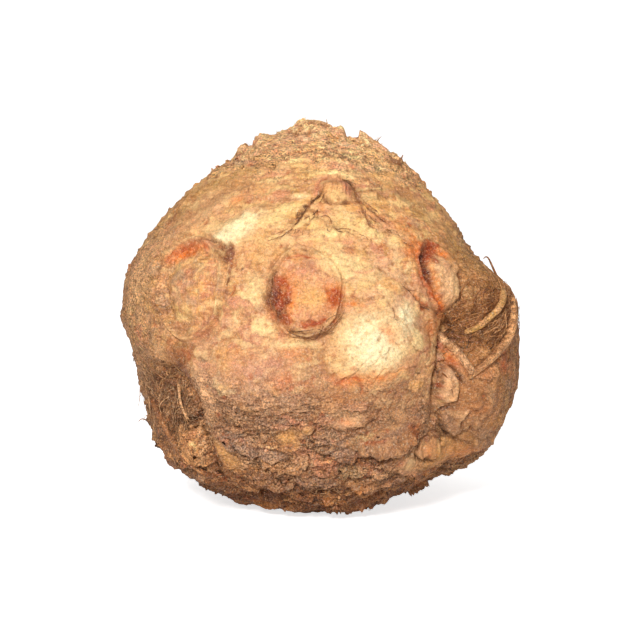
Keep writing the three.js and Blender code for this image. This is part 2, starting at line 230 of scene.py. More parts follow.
def about_crown(around: Array | float, out: Array | float) -> Array:
    """Returns directions given by the angle about the crown's axis and the angle from it, in degrees."""
    d = direction(around, 90 - np.asarray(out, dtype=float))
    turned_y = d[..., 1] * math.cos(LEAN) + d[..., 2] * math.sin(LEAN)
    turned_z = d[..., 2] * math.cos(LEAN) - d[..., 1] * math.sin(LEAN)
    return np.stack([d[..., 0], turned_y, turned_z], axis=-1)


# ---------------------------------------------------------------- the features of the skin


@dataclass(frozen=True)
class Mark:
    """A swelling, a hollow or a patch of colour on the skin.

    at is its place and size its half widths along the skin across and up. tone colours it with a
    strength. height is its relief and turn its tilt in degrees. power is its profile: 2 is a soft hill
    and 4 a flat-topped one. bare is how far it keeps the crust off.
    """

    at: Place
    size: Place
    tone: Tone | None = None
    strength: float = 0
    height: float = 0
    turn: float = 0
    power: float = 2.2
    bare: float = 0


@dataclass(frozen=True)
class Scar:
    """A round scar of a shed stalk or a cut root: a sunk floor with a raised middle, a rim and a moat."""

    at: Place
    size: Place
    turn: float = 0.0
    sink: float = 2.0
    middle: float = 2.0
    rim: float = 0.9
    rim_width: float = 0.9
    moat: float = 0.9
    fibre: float = 0.5


@dataclass(frozen=True)
class Line:
    """A crease, a ridge, a fold's edge or a streak of colour along places on the skin.

    depth is how deep it is cut and width half its width. tone colours it with a strength, over tint
    times its width. threads is how many dried root threads lie in it. lip raises its left side and
    fades over lip_reach.
    """

    through: tuple[Place, ...]
    depth: float = 0
    width: float = 1
    tone: Tone | None = None
    strength: float = 0
    threads: int = 0
    lip: float = 0
    lip_reach: float = 3
    tint: float = 1


# Radii of the tuber from its centre, every 15 degrees from straight down to straight up.
MERIDIANS = {
    "front": (60.5, 61.5, 61, 60.5, 58.5, 57, 56, 57.5, 57.5, 56.5, 56.5, 57, 57),
    "right": (60.5, 61.8, 61.6, 59.6, 58.2, 56, 53.5, 54.2, 52.8, 52.2, 55, 57, 57),
    "back": (60.5, 61.5, 61, 61, 59.5, 58, 57, 57, 56.5, 55.5, 56, 57, 57),
    "left": (60.5, 61.8, 63.2, 64.8, 62.8, 59.8, 61.6, 61.4, 59.2, 57.4, 57, 57, 57),
}

# The large swellings, and the hollows that the hair roots grow from.
LOBES = (
    Mark((17, -0.5), (15, 14), height=4.8, power=3.2),
    Mark((-19, -13.5), (19, 12.5), height=3.8, power=3),
    Mark((76, -13), (30, 34), height=8.9, power=6),
    Mark((-48, -38), (16, 13), height=2, power=2.6),
    Mark((30, -42), (15, 8), height=2, turn=10, power=2.6),
    Mark((-24, 34), (13, 6), height=1.6, turn=25),
    Mark((27, -34.5), (9.5, 4.2), height=2, turn=14, power=3),
    Mark((-84, 1), (3.6, 3.6), height=1.2),
    Mark((-172, -8), (17, 14), height=4.2, power=3),
    Mark((-128, -14), (17, 16), height=3.2, power=3),
    Mark((132, -24), (18, 17), height=4, power=3),
    Mark((49, 1), (9, 7.5), height=-3.6, power=2.6),
    Mark((-53, -19), (9, 7.5), height=-3.2, power=2.6),
    Mark((81, 23), (24, 14), height=-1.5),
    Mark((84, 16), (12, 6), height=-3, power=3),
    Mark((98, -64), (16, 9), height=-1.8),
    Mark((-46, -57), (20, 8), height=-1.8),
    Mark((42, -57), (12, 6), height=-1.4),
    Mark((150, -14), (8, 8), height=-2.6, power=2.6),
    Mark((-150, -12), (7, 8), height=-2.4, power=2.6),
)

SCARS = (
    Scar((-5, 14.8), (11.3, 12.4), sink=1.9, middle=1.5, rim=0.7, rim_width=0.7, moat=0.7, fibre=0.2),
    Scar((44.6, 17.4), (9.6, 12.4), 11, sink=1.7, middle=1.8, rim=0.5, rim_width=1, moat=0.5, fibre=0.2),
    Scar((-43, 14), (12.2, 14.6), 6, sink=2.4, middle=2.6, rim=1.3, rim_width=0.8, moat=1.1, fibre=0.4),
    Scar((43.7, -15.4), (3.2, 6), 4, sink=-0.6, middle=1, rim=0.5, rim_width=0.6, moat=1.9, fibre=0.2),
    Scar((40.3, -34.6), (4.6, 3.2), sink=0.2, middle=0.9, rim=1, rim_width=0.5, moat=1.5, fibre=0.2),
    Scar((-4.2, -26.4), (1.9, 2), sink=0.3, middle=0.6, rim=0.6, rim_width=0.4, moat=0.9, fibre=0.1),
    Scar((112, 20), (9, 11), sink=2, middle=2.2, rim=0.7, rim_width=0.9, moat=0.8),
    Scar((163, 14), (12, 12.5), turn=15, sink=1.8, middle=2.2, rim=0.8, rim_width=1, moat=0.8),
    Scar((-112, 18), (11, 12), turn=-8, sink=2, middle=2.4, rim=0.7, rim_width=1, moat=0.9),
    Scar((-138, -24), (5, 6), sink=0.4, middle=1, rim=0.9, rim_width=0.8, moat=1.1),
)

# Deep creases between the lobes. The umber and dark that _line lays in them is partly soil, partly painted
# shade.
CREASES = (
    Line(((56, 16), (48, 9), (43.6, 3), (41.4, -3), (40.7, -9), (39.9, -14), (40.3, -19), (41.2, -23),
         (40.2, -27), (37, -30)), 2.2, 1.5, UMBER, 0.45),
    Line(((-68, -10), (-56, -12), (-49, -13.4), (-44.6, -18), (-43.4, -26), (-41.6, -34), (-40, -46),
         (-34, -56)), 3.4, 2.2, UMBER, 0.6),
    Line(((-40, -57), (-31, -54.6), (-22, -54.2), (-17, -57.6), (-11, -60)), 2.6, 1.3, DARK, 0.95),
    Line(((150, 30), (146, 12), (150, -6), (152, -24), (160, -44)), 3.8, 2.6, UMBER, 0.6),
    Line(((-150, 34), (-146, 14), (-150, -4), (-148, -30), (-156, -50)), 3.4, 2.6, UMBER, 0.6),
    Line(((-88, 28), (-92, 8), (-98, -12), (-100, -34), (-108, -50)), 3, 2.6, UMBER, 0.5),
    Line(((100, 4), (104, -12), (100, -30), (106, -48)), 3, 2.4, UMBER, 0.5),
)

# Small reliefs and patches of colour. The first group is the bud on the upper front.
MARKS = (
    Mark((6.4, 48.3), (3.6, 4), TAN, 0.9, 2, power=3.6),
    Mark((6.1, 50.6), (2.6, 1.2), BROWN, 0.7),
    Mark((6.6, 46), (2.8, 1.7), CREAM, 0.4, 0.3),
    Mark((11.9, 48.9), (1.8, 3.2), ROSE, 0.95, 1, power=3),
    Mark((13.4, 52.4), (1.8, 0.9), MAROON, 0.8, turn=-24),
    Mark((11.2, 44.2), (1.7, 0.7), UMBER, 1, -0.4),
    Mark((16.6, 46.4), (2.2, 4.4), BROWN, 0.6, turn=14),
    Mark((17.2, 45.2), (1.1, 0.9), UMBER, 0.95, -0.3),
    Mark((-0.2, 47.2), (0.9, 1), DARK, 0.85, -0.4),
    Mark((2.3, 45), (1.2, 0.7), UMBER, 0.9, -0.4),
    Mark((0.4, 42.8), (1.1, 1.1), ORANGE, 0.6),
    Mark((6.8, 55.8), (5.6, 1.1), CREAM, 0.95, 0.5),
    Mark((14.6, 55), (3.4, 1), CREAM, 0.6, 0.3, -20),
    Mark((10.3, 60), (4.4, 1.7), ROSE, 0.6),
    Mark((4.7, 32.9), (4, 1.8), CREAM, 0.9, 0.4),
    Mark((18.4, 32.9), (5, 1.6), CREAM, 0.85, 0.4, -14),
    Mark((-8.2, 46.3), (2.4, 1), IVORY, 0.75),
    Mark((31.2, 39.7), (2, 1.2), CREAM, 0.75),
    Mark((-17.6, 37), (5, 2.4), CREAM, 0.7, turn=16),
    Mark((10, 30.4), (3, 1.2), ROSE, 0.6),
    # The glint on the upper left mound: these two ivory patches are a painted highlight.
    Mark((-31.4, 31.6), (6.2, 3.7), IVORY, 1.3, 0.5, 20),
    Mark((-26.8, 36), (3.4, 4.8), IVORY, 1, 0.4, -30),
    Mark((-13.5, 41.3), (4.2, 2.1), CREAM, 0.9, 0.4, 20),
    Mark((-47, 30.2), (5.5, 1.1), CREAM, 0.8, turn=24),
    Mark((-37.4, 43.6), (2.8, 1.8), ORANGE, 0.7, turn=20),
    Mark((-20, 27), (9, 5), GOLD, 0.5),
    Mark((8.8, 37), (8, 3.4), CREAM, 0.45),
    Mark((4.4, 24), (6.5, 5), CREAM, 0.85, 0.5, -35),
    Mark((14, 20), (6, 4), CREAM, 0.5, turn=-35),
    Mark((-19, 15.5), (3.4, 4.4), CREAM, 0.6, 0.7),
    Mark((-11.4, 30.8), (2.3, 2), PALE_TAN, 0.5, 0.7),
    Mark((-4.8, 32), (2, 1.7), PALE_TAN, 0.4, 0.6),
    Mark((-8.3, 28.2), (2, 1.4), PALE_TAN, 0.4, 0.5),
    Mark((10.2, 28), (2.2, 1.8), RUST, 0.42),
    Mark((21.2, 28.6), (1.4, 1), RUST, 0.55),
    Mark((26.8, 14.2), (1.9, 0.9), RUST, 0.6, turn=-30),
    Mark((32, 9.8), (1.8, 1.1), RUST, 0.75, turn=-30),
    Mark((11, 8.5), (1.8, 0.9), RUST, 0.6, turn=20),
    Mark((33, 36), (5, 3.4), ORANGE, 0.35),
    Mark((48.5, 41.2), (3.4, 2.8), OLIVE, 0.6),
    Mark((60, 24), (9, 15), OLIVE, 0.65, turn=10),
    Mark((69, 16), (9, 14), MOSS, 0.5, turn=10),
    Mark((-48, 40), (9, 10), PALE_TAN, 0.6),
    Mark((-68, 14), (9, 14), PALE_TAN, 0.55),
    Mark((-25.1, 20.8), (0.7, 0.4), DARK, 0.9),
    Mark((1.5, 20.4), (0.7, 0.7), DARK, 0.9, -0.3),
    # the centre scar
    Mark((-3, 14), (8, 8), GOLD, 0.5),
    Mark((-2.8, 12.8), (4, 5), GOLD, 0.7),
    Mark((0.4, 18.6), (4.2, 2.6), ROSE, 0.5),
    Mark((-5, 8), (8, 3.2), ROSE, 0.6),
    Mark((-6, 21.5), (6, 3), ROSE, 0.7),
    Mark((-3.2, 22.6), (2.2, 2.2), PURPLE, 0.35, 0.4),
    Mark((-11.2, 18.6), (1.6, 1.6), UMBER, 0.4, -0.3),
    Mark((-10.8, 12.8), (3.8, 6.8), ORANGE, 1, turn=-10, power=2.6),
    Mark((-12.4, 12.4), (3.2, 7.4), RUST, 1, turn=-14, power=3),
    Mark((-13.8, 14.2), (2.1, 6), MAROON, 0.8, -0.4, -8, power=3),
    Mark((-11.8, 8.2), (1.5, 3.2), MAROON, 0.8, -0.2, -34, power=3),
    Mark((-10, 12), (1.3, 2), MAROON, 0.6),
    Mark((4.3, 13.8), (2.6, 4.2), ORANGE, 0.9, -0.3, 8, power=3),
    Mark((4.5, 13.8), (1.9, 3.4), RUST, 1, -0.3, 8, power=3),
    Mark((1.6, 15.5), (1.2, 1), RUST, 0.6),
    Mark((2.6, 11.8), (2.2, 2.6), RUST, 0.5),
    Mark((-12.4, 18.6), (1.7, 2.6), RUST, 0.8, turn=20),
    Mark((-15.2, 5), (3, 2.6), CREAM, 0.6),
    Mark((-3.5, 5.8), (3.4, 1.1), RUST, 0.75, turn=12),
    Mark((-10, 6.8), (2.2, 1.6), RUST, 0.7, turn=-40),
    # the right scar
    Mark((34.4, 27.4), (5, 4.2), ORANGE, 0.8, turn=30),
    Mark((32.6, 20.6), (2.2, 6), ORANGE, 0.3, turn=4),
    Mark((38.6, 10), (3.6, 5), BROWN, 0.5, turn=-30),
    Mark((43, 4.4), (5, 2.6), ORANGE, 0.45),
    Mark((36.4, 3), (4.4, 6), BROWN, 0.8),
    Mark((36.4, 3), (3, 3.6), ORANGE, 0.45),
    Mark((29, 14), (3, 3), PALE_TAN, 0.5),
    Mark((46.9, 16.2), (5.2, 9.8), PALE_TAN, 1, 0.5, 14, power=3.4),
    Mark((47.6, 14), (2.6, 5), FLESH, 0.6, turn=13),
    Mark((45.6, 20.6), (2.6, 2.4), ROSE, 0.35),
    Mark((44.6, 27.6), (3.6, 2.4), RUST, 1, -0.4, -16, power=3.4),
    Mark((43.4, 28.2), (1.9, 1.3), MAROON, 0.85, turn=-10),
    Mark((48, 25.4), (2.4, 1.6), ORANGE, 0.95, turn=-20),
    Mark((35.6, 22.2), (1.3, 2.2), DARK, 0.8),
    Mark((41.2, 24.8), (2, 2.8), RUST, 0.9, turn=24),
    Mark((39.4, 19), (1.4, 5), ORANGE, 0.6, turn=8),
    Mark((41.9, 7.8), (1.8, 1.4), RUST, 1, -0.4),
    Mark((33.3, 10.1), (2, 1.1), RUST, 0.95, turn=-45),
    Mark((30.6, 12.6), (1.7, 0.9), ORANGE, 0.9, turn=-30),
    Mark((27.8, 5.4), (1.1, 1), RUST, 0.7),
    Mark((58, 17), (4, 12), BROWN, 0.5, turn=10),
    # the left scar
    Mark((-49, 24.2), (6.4, 2.2), ORANGE, 0.95, turn=22),
    Mark((-46.6, 26), (3.4, 1.6), RUST, 0.5, -0.3, 22, power=3),
    Mark((-41.4, 27.2), (3.4, 1), ORANGE, 0.8, turn=4),
    Mark((-53.6, 21.8), (1.8, 2), RUST, 0.6, turn=40),
    Mark((-30.6, 25.2), (2.3, 2.8), PURPLE, 0.9, -1.2, 24),
    Mark((-31, 25.4), (1.6, 2.2), UMBER, 0.6, turn=24),
    Mark((-28.8, 21.8), (0.9, 2.2), RUST, 0.6),
    Mark((-35.4, 17.4), (1.4, 1.2), OLIVE, 0.6),
    Mark((-44.3, 2.6), (2.2, 1.8), BROWN, 0.7),
    Mark((-37.3, 0.7), (1.1, 0.7), RUST, 0.85),
    Mark((-34.4, -0.2), (0.9, 0.8), PURPLE, 0.6),
    Mark((-38, 27.6), (3.6, 1.2), ROSE, 0.7, turn=-4),
    Mark((-33.6, 27), (2.6, 0.8), UMBER, 0.75, turn=-14),
    Mark((-32.2, 19.8), (1.2, 3.4), CREAM, 0.5, 0.3, 10),
    Mark((-47.5, 16.8), (3.4, 1.6), GREY, 0.7),
    Mark((-31, 15.4), (1.4, 2.4), GREY, 0.6),
    Mark((-41.4, 7.6), (3.6, 4), CREAM, 0.3, turn=-10),
    Mark((-36, 12), (3, 8), ORANGE, 0.2, turn=4),
    Mark((-44.6, 2.6), (4, 1.4), BROWN, 0.55),
    Mark((-55.4, 15), (1.4, 6), ROSE, 0.6, turn=-4),
    Mark((-51, 1.5), (3, 3), GREY, 0.4),
    Mark((-45, -0.4), (6, 2), PALE_TAN, 0.5),
    Mark((-56, -6), (4.4, 3), PALE_TAN, 0.6),
    # the pale boss and the ridge beside it: the boss's cream and ivory are partly its own pale colour, partly
    # a painted highlight
    Mark((15.4, -0.6), (11.6, 10.2), CREAM, 0.85, power=3),
    Mark((5, 0.5), (4, 8), GOLD, 0.5),
    Mark((10, -9.6), (8, 2.6), ORANGE, 0.22),
    Mark((15, 0.2), (8.2, 6.8), IVORY, 1.15, turn=-24, power=2.4),
    Mark((25.4, 7.4), (3.2, 4.4), IVORY, 1, turn=10),
    Mark((20.6, 2.6), (2.2, 3), ORANGE, 0.3, turn=20),
    Mark((18.2, 3.8), (2.6, 1.6), ORANGE, 0.6, turn=-30),
    Mark((19.9, 0.6), (1.3, 1.1), ORANGE, 0.5),
    Mark((18.2, -9.4), (4, 1.6), ORANGE, 0.45),
    Mark((-8.4, -0.2), (7, 1.3), CREAM, 0.85, 0.7, 4),
    Mark((-8.2, -3), (3.4, 1.8), ORANGE, 0.5),
    # the bulge at the left of the front
    Mark((-20, -7), (13, 7), ROSE, 0.4),
    Mark((-16, -11), (17, 9), GREY, 0.32),
    Mark((-3, -8), (5, 9), BROWN, 0.45),
    Mark((2, -15), (9, 4), BROWN, 0.35),
    Mark((-27, -6.7), (2.7, 2.6), GOLD, 0.5, 0.6),
    Mark((-10, -10), (4, 3), ORANGE, 0.3),
    Mark((-35.8, 1), (0.9, 0.7), RUST, 0.85),
    Mark((-36.3, -5.6), (1.3, 1.2), DARK, 0.85, -0.5),
    Mark((-36.4, -1), (4, 3), PALE_TAN, 0.6),
    Mark((-4, -24.9), (2.1, 2.1), PALE_TAN, 0.4, 1.1, power=3),
    Mark((-25.6, -45.2), (3.2, 2.6), TAN, 0.4, 1.4, power=2.6),
    Mark((-32, -40), (4, 3), GOLD, 0.45),
    # the left hollow: its umber, brown, maroon and dark patches are partly soil, partly painted shade in the
    # hollow
    Mark((-42.6, -5), (3, 2.2), RUST, 0.7, -0.8),
    Mark((-48, -4), (4, 2.4), RUST, 0.35, turn=-20),
    Mark((-44.4, -11.4), (3.4, 2.8), MAROON, 0.75),
    Mark((-45.4, -7.6), (3, 4.4), RUST, 0.45, turn=-10),
    Mark((-46, -8.4), (2.6, 4), UMBER, 0.6, turn=-10),
    Mark((-59, -15.6), (9, 3.4), DARK, 0.9, turn=8),
    Mark((-54, -19), (9, 8), UMBER, 0.85),
    Mark((-48.4, -8.6), (5.4, 7), BROWN, 0.85, turn=-10),
    Mark((-46.4, -11), (3.8, 6), UMBER, 1, turn=-10),
    Mark((-62, -22), (7, 5), UMBER, 0.7),
    Mark((-36.8, -15.6), (3.6, 8), PALE_TAN, 0.8),
    Mark((-63.5, -24.4), (3.6, 3), MAROON, 0.45),
    Mark((-45.8, -26.7), (4.2, 1.5), DARK, 1, -1.2, 8, power=3),
    Mark((-56, -33), (8, 7), UMBER, 0.5),
    Mark((-66, -34), (7, 9), BROWN, 0.6),
    # the right hollow and the lobe beyond it: the umber, brown and dark patches are partly soil, partly
    # painted shade in the hollow and under the side roots
    Mark((52, 2), (10, 7), BROWN, 0.85, turn=-20),
    Mark((60, 3), (8, 5), BROWN, 0.8, turn=30),
    Mark((52, 0.5), (8.6, 6), UMBER, 0.9, turn=20),
    Mark((58, 0.4), (6, 1.4), UMBER, 0.7, turn=36),
    Mark((52, 4), (9, 8), MOSS, 0.55, turn=20),
    Mark((46.6, -0.6), (3, 2), DARK, 0.6),
    Mark((47, -16.6), (3, 3.6), LOBE, 0.6),
    Mark((48.6, -20), (3, 2.4), UMBER, 0.35),
    Mark((42.6, -3.6), (1.2, 2.4), PURPLE, 0.7, turn=-10),
    Mark((44.2, -6.8), (2.2, 3), ORANGE, 0.55, turn=30),
    Mark((44.6, -8.2), (1.6, 1.7), RUST, 0.75, turn=30),
    Mark((41.3, -7.9), (0.9, 2), GREY, 0.9, 0.5, -6),
    Mark((43.5, -15.4), (2.9, 5.6), PALE_TAN, 1, turn=4, power=5, bare=1),
    Mark((43.3, -14.8), (1.1, 1.7), BROWN, 0.8),
    Mark((43.4, -11.6), (1.4, 1.6), GREY, 0.5),
    Mark((40.9, -19.4), (1.1, 1.5), ROSE, 0.6, 1.2, power=3, bare=1),
    Mark((41.4, -21.8), (1.6, 0.7), PALE_TAN, 0.8, 0.7, -20),
    Mark((40.3, -34.6), (4.2, 2.9), TAN, 0.8, power=5, bare=1),
    Mark((40.6, -34.4), (2.4, 1.7), ORANGE, 0.3, 0.3),
    Mark((62, -8.8), (3.6, 3), RUST, 0.6),
    Mark((72, 0), (6, 5), BROWN, 0.5),
    Mark((52, -16), (4.4, 3.4), BROWN, 0.35, 0.8, -30, bare=1),
    Mark((57, -12), (5, 2.2), TAN, 0.4, 0.7, -60, bare=1),
    Mark((54.6, -21.6), (4, 2.6), ORANGE, 0.35, bare=1),
    Mark((58, -24), (9, 9), BROWN, 0.6, turn=-20, bare=0.8),
    Mark((50, -38), (11, 4.6), GOLD, 0.45, 1.2, 24, power=3, bare=0.9),
    Mark((60, -38), (6, 3), ORANGE, 0.4, turn=24),
    Mark((49.6, -13.6), (4, 7.4), BROWN, 0.85),
    # below the boss
    Mark((22.6, -31), (11, 4.6), turn=14, bare=0.85),
    Mark((20, -22), (14, 6), turn=10, bare=0.5),
    Mark((8.6, -24.4), (4.4, 2), PALE_TAN, 0.9, 0.8, power=3, bare=1),
    Mark((8.6, -23.8), (2.6, 1.1), ORANGE, 0.4),
    Mark((32.6, -27.8), (2.8, 2.5), ORANGE, 0.6),
    Mark((32.6, -27.8), (1.7, 1.6), RUST, 1, -0.4),
    Mark((32.7, -27.6), (0.9, 0.8), MAROON, 0.9),
    Mark((29.8, -37.6), (2.8, 1.6), ORANGE, 0.7),
    Mark((29.8, -37.8), (1.6, 1), RUST, 1, -0.4),
    Mark((27.4, -28.2), (7, 1.3), GREY, 0.8, turn=24),
    Mark((15.4, -29.8), (2.6, 0.8), CREAM, 0.7, 0.3, 6),
    Mark((-21, -29.5), (4, 2.2), PALE_TAN, 0.6),
    Mark((3, -29), (3.2, 1.8), PALE_TAN, 0.5),
    Mark((28.6, -30), (5.4, 2.4), UMBER, 0.5, turn=10),
    # Umber just below the tongue plate's lower lip: painted shadow.
    Mark((17, -37.6), (9, 2.2), UMBER, 0.9, turn=6),
    Mark((-38, -43.4), (11, 3.4), UMBER, 0.7, turn=-14),
    Mark((33, -38.4), (4, 3.6), PALE_TAN, 0.9, 0.5, bare=1),
    Mark((33.6, -38.4), (2, 2.6), CREAM, 0.5),
    Mark((31, -30.6), (5, 4), BROWN, 0.5),
    Mark((24, -23), (10, 5), BROWN, 0.3, turn=10),
    Mark((37.6, -21), (3, 7), UMBER, 0.45),
    Mark((-3.9, -26.4), (1.3, 1.3), GOLD, 0.8, bare=1),
    # Dark pits low on the front: their darkness is partly soil, partly painted shade.
    Mark((3.8, -51.6), (4.4, 1.7), DARK, 1, -2.4, power=3),
    Mark((3.4, -50.9), (2, 0.5), PURPLE, 0.7),
    Mark((22.4, -52.4), (2.6, 1.5), DARK, 1, -1.6, power=3),
    Mark((-9.6, -60.6), (5, 1.1), DARK, 1, -1.6, power=3),
    Mark((-18.9, -32.9), (4.4, 0.7), ROSE, 0.6, 0.4, -4),
    Mark((-18.5, -32.7), (3.4, 0.35), CREAM, 0.7, turn=-4),
    Mark((-10.6, -29.4), (3.6, 3), GOLD, 0.8, bare=0.7),
    Mark((-27.6, -39.2), (1.8, 1.3), PALE_TAN, 0.8, 0.5),
    Mark((-34.4, -35.6), (2.4, 5.4), GOLD, 0.75, 0.7, 32, power=3, bare=0.8),
    Mark((-45.2, -38.9), (1.6, 1), MAROON, 0.7),
    Mark((-46.6, -31), (3, 2.8), RUST, 0.35, turn=-20),
    Mark((-35, -63), (5, 2.2), GOLD, 0.5, bare=0.5),
    # Umber low on the left: partly soil, partly painted shade towards the ground.
    Mark((-46, -56), (18, 7), UMBER, 0.6, turn=-6),
    # These two umber patches are also painted shadow below the tongue's lower lip.
    Mark((20.4, -36), (4, 2), UMBER, 0.7, turn=10),
    Mark((12.4, -37), (4, 2), UMBER, 0.4),
    Mark((9, -16.2), (6, 1.8), LOBE, 0.6, turn=4),
    # These three umber and brown patches low on the front are partly soil, partly painted shade towards the
    # ground.
    Mark((-42, -46), (7, 3), UMBER, 0.45, turn=-10),
    Mark((-31, -46), (14, 6), BROWN, 0.7, turn=-10),
    Mark((0, -62), (34, 4), UMBER, 0.5),
    Mark((22, -43), (13, 5), BROWN, 0.4, turn=6),
    Mark((-28, -30.6), (6, 3), GREY, 0.6, turn=-20),
)

# Plates of torn skin that lie like shingles: each rises towards its lower edge and ends there in a step.
PLATES = (
    Mark((23.4, -31.4), (9.6, 3.6), CRUST, 0.6, 1.7, 15),
    Mark((49.4, -26.6), (4.6, 5.2), GREY, 0.4, 1.5, -18),
    Mark((46.8, -22.6), (4, 2.2), PALE_TAN, 0.35, 0.7, -10),
    Mark((26, -38.2), (5.2, 1.5), PALE_TAN, 0.8, 0.9, 6),
    Mark((22.6, -41.4), (4.2, 1.9), PALE_TAN, 1, 1.3, 2),
    Mark((16.8, -40.2), (1.8, 2.8), ROSE, 0.8, 1),
    Mark((11.9, -40.6), (4.2, 2.5), PALE_GREEN, 0.5, 1.4),
    Mark((2.2, -39.7), (4.2, 2.8), ROSE, 0.55, 1.2, -10),
    Mark((4.4, -31.2), (4.6, 1.6), GREY, 0.7, 0.8, -8),
    Mark((7.6, -35.2), (6.6, 2.6), GREY, 0.6, 1, -6),
    Mark((18.4, -47.6), (5.6, 3.4), TAN, 0.8, 2, -6),
    Mark((9, -46.6), (5, 2.2), BROWN, 0.6, 1.3, -4),
    Mark((29.3, -45.9), (5, 1.6), GREY, 0.7, 0.9, 4),
    Mark((32, -49.6), (7, 2.2), BROWN, 0.6, 1.3, 6),
    Mark((7.3, -56.2), (5.2, 2.3), GOLD, 0.6, 1.7),
    Mark((-2, -44.9), (6.4, 3.2), GREY, 0.8, 2, -5),
    Mark((-4.7, -37.6), (4.2, 2), PALE_TAN, 0.6, 1.1),
    Mark((-13.6, -39.4), (6.6, 3), TAN, 0.6, 1.3, -10),
    Mark((-20.6, -34.6), (7.4, 2.8), GREY, 0.7, 1.5, -12),
    Mark((-29, -31.4), (4.4, 4.2), GREY, 0.7, 1.3, -36),
    Mark((-19.4, -46.6), (6.6, 3.2), GREY, 0.6, 1.8, -14),
    Mark((-31.6, -46.4), (5.6, 4.4), TAN, 0.7, 1.8, -22),
    Mark((-9, -53), (6, 3), BROWN, 0.6, 1.8, -4),
    Mark((-35, -62.4), (6.4, 2.6), GOLD, 0.5, 1.7, -12),
    Mark((-16.7, -63.6), (5, 2.2), TAN, 0.6, 1.6),
    Mark((18, -62), (5.4, 2.6), BROWN, 0.6, 1.9),
    Mark((-46.8, -32.8), (6.2, 6.2), TAN, 0.9, 1.5, -12, power=6, bare=1),
    Mark((-46.6, -44), (6.4, 3), BROWN, 0.6, 1.4, -18),
    Mark((-55, -37), (6, 4), BROWN, 0.6, 1.2, -30),
    Mark((-42, -51), (7, 3), BROWN, 0.5, 1.5, -16),
    Mark((56, -40), (8, 3.4), TAN, 0.5, 1, 22),
    Mark((47, -44), (7, 2.8), ORANGE, 0.25, 1.2, 14),
    Mark((56.6, -18), (5, 2.2), PALE_TAN, 0.5, 0.8, -52),
    Mark((61, -27), (7, 4), GREY, 0.5, 0.8, -30),
)


@dataclass(frozen=True)
class PlatePatch:
    """A patch of scattered plates: how many, their half widths, half heights and steps, and their tilt.

    The spread is how far their tilts stray in degrees.
    """

    at: Place
    size: Place
    count: int
    across: Place
    up: Place
    height: Place
    turn: float = 0.0
    spread: float = 18.0
    tones: tuple[Tone, ...] = (CRUST, GREY, BROWN, TAN, ROSE)
    strength: float = 0.5

    def scatter(self, rng: np.random.Generator) -> list[Mark]:
        """Returns the plates, drawn from a seeded generator."""
        plates = []
        for _ in range(self.count):
            up = self.at[1] + rng.normal() * SCATTER * self.size[1]
            narrowing = max(math.cos(math.radians(up)), 0.35)
            across = self.at[0] + rng.normal() * SCATTER * self.size[0] / narrowing
            size = (rng.uniform(*self.across), rng.uniform(*self.up))
            tone = self.tones[rng.integers(len(self.tones))]
            turn = self.turn + rng.normal() * self.spread
            height = rng.uniform(*self.height)
            strength = self.strength * rng.uniform(0.4, 1.2)
            plates.append(Mark((across, up), size, tone, strength, height, turn))
        return plates


# Factors on the skin's red, green and blue, and how much they change by height and on the front.
WARMTH = (0.975, 0.935, 0.88)
# The browning towards the ground and the foot is partly the skin's own browner colour, partly painted shade.
LOW_BROWNING_AND_SHADE = (-0.16, -0.17, -0.2)
FOOT_BROWNING_AND_SHADE = (-0.28, -0.37, -0.43)
# The paling on the crown is partly its own paler colour, partly painted light.
CROWN_PALING_AND_LIGHT = (0.21, 0.28, 0.36)
FACE_COOLING = (-0.05, -0.04, 0.05)
# The same for the cap, the leaf bases and the torn flakes, whose own colour is duller.
CAP_TINT, CAP_GLOW = (1.02, 1.05, 1.07), (0.2, 0.24, 0.28)
LEAF_TINT, LEAF_GLOW = (1.16, 1.21, 1.26), (0.24, 0.29, 0.34)
FLAKE_TINT = (0.84, 0.74, 0.62)
# Colours that stain the skin with a clear, ragged edge.
STAINS = (RUST, MAROON, DARK, PURPLE)
UPPER_TONES = (CREAM, GOLD, ROSE, TAN, PALE_TAN)
SIDE_TONES = (BROWN, TAN, OLIVE, GREY, ROSE)
PLATE_PATCHES = (
    PlatePatch((-12, 24), (26, 26), 90, (1.6, 5), (0.9, 2.4), (0.1, 0.4), 0, 28, UPPER_TONES, 0.55),
    PlatePatch((22, 26), (22, 24), 80, (1.6, 5), (0.9, 2.4), (0.1, 0.4), -20, 28, UPPER_TONES, 0.55),
    PlatePatch((0, 55), (50, 12), 90, (2.5, 8), (0.7, 1.8), (0.15, 0.45), 0, 14, UPPER_TONES, 0.5),
    PlatePatch((-64, 14), (16, 24), 80, (1.6, 5), (1, 2.8), (0.2, 0.7), 30, 40, SIDE_TONES, 0.5),
    PlatePatch((66, 24), (16, 16), 60, (1.6, 5), (1, 2.8), (0.2, 0.6), -30, 40, SIDE_TONES, 0.5),
    PlatePatch((66, -24), (18, 14), 50, (2, 6), (1.2, 3), (0.2, 0.6), -30, 40, SIDE_TONES, 0.4),
    PlatePatch((-18, -10), (22, 8), 60, (1.4, 4.5), (0.8, 1.8), (0.1, 0.4), -4, 20, UPPER_TONES, 0.45),
    PlatePatch((-8, -30), (30, 11), 26, (3, 7), (1.2, 2.6), (0.2, 0.6), -6, 16),
    PlatePatch((18, -42), (30, 7), 16, (3, 7), (1.2, 2.4), (0.3, 0.8), 8, 16),
    PlatePatch((-44, -42), (22, 10), 22, (3, 7), (1.4, 3), (0.3, 0.9), -16, 18),
    PlatePatch((0, -57), (60, 6), 60, (2.4, 7), (1.4, 3), (0.5, 1.4), 0, 20),
    PlatePatch((130, -40), (60, 16), 120, (2.4, 7), (1.4, 3.4), (0.3, 1.2), 0, 20),
    PlatePatch((-130, -40), (60, 16), 120, (2.4, 7), (1.4, 3.4), (0.3, 1.2), 0, 20),
    PlatePatch((180, 20), (80, 26), 150, (1.8, 5.5), (1, 2.6), (0.15, 0.5), 0, 30, SIDE_TONES, 0.45),
)

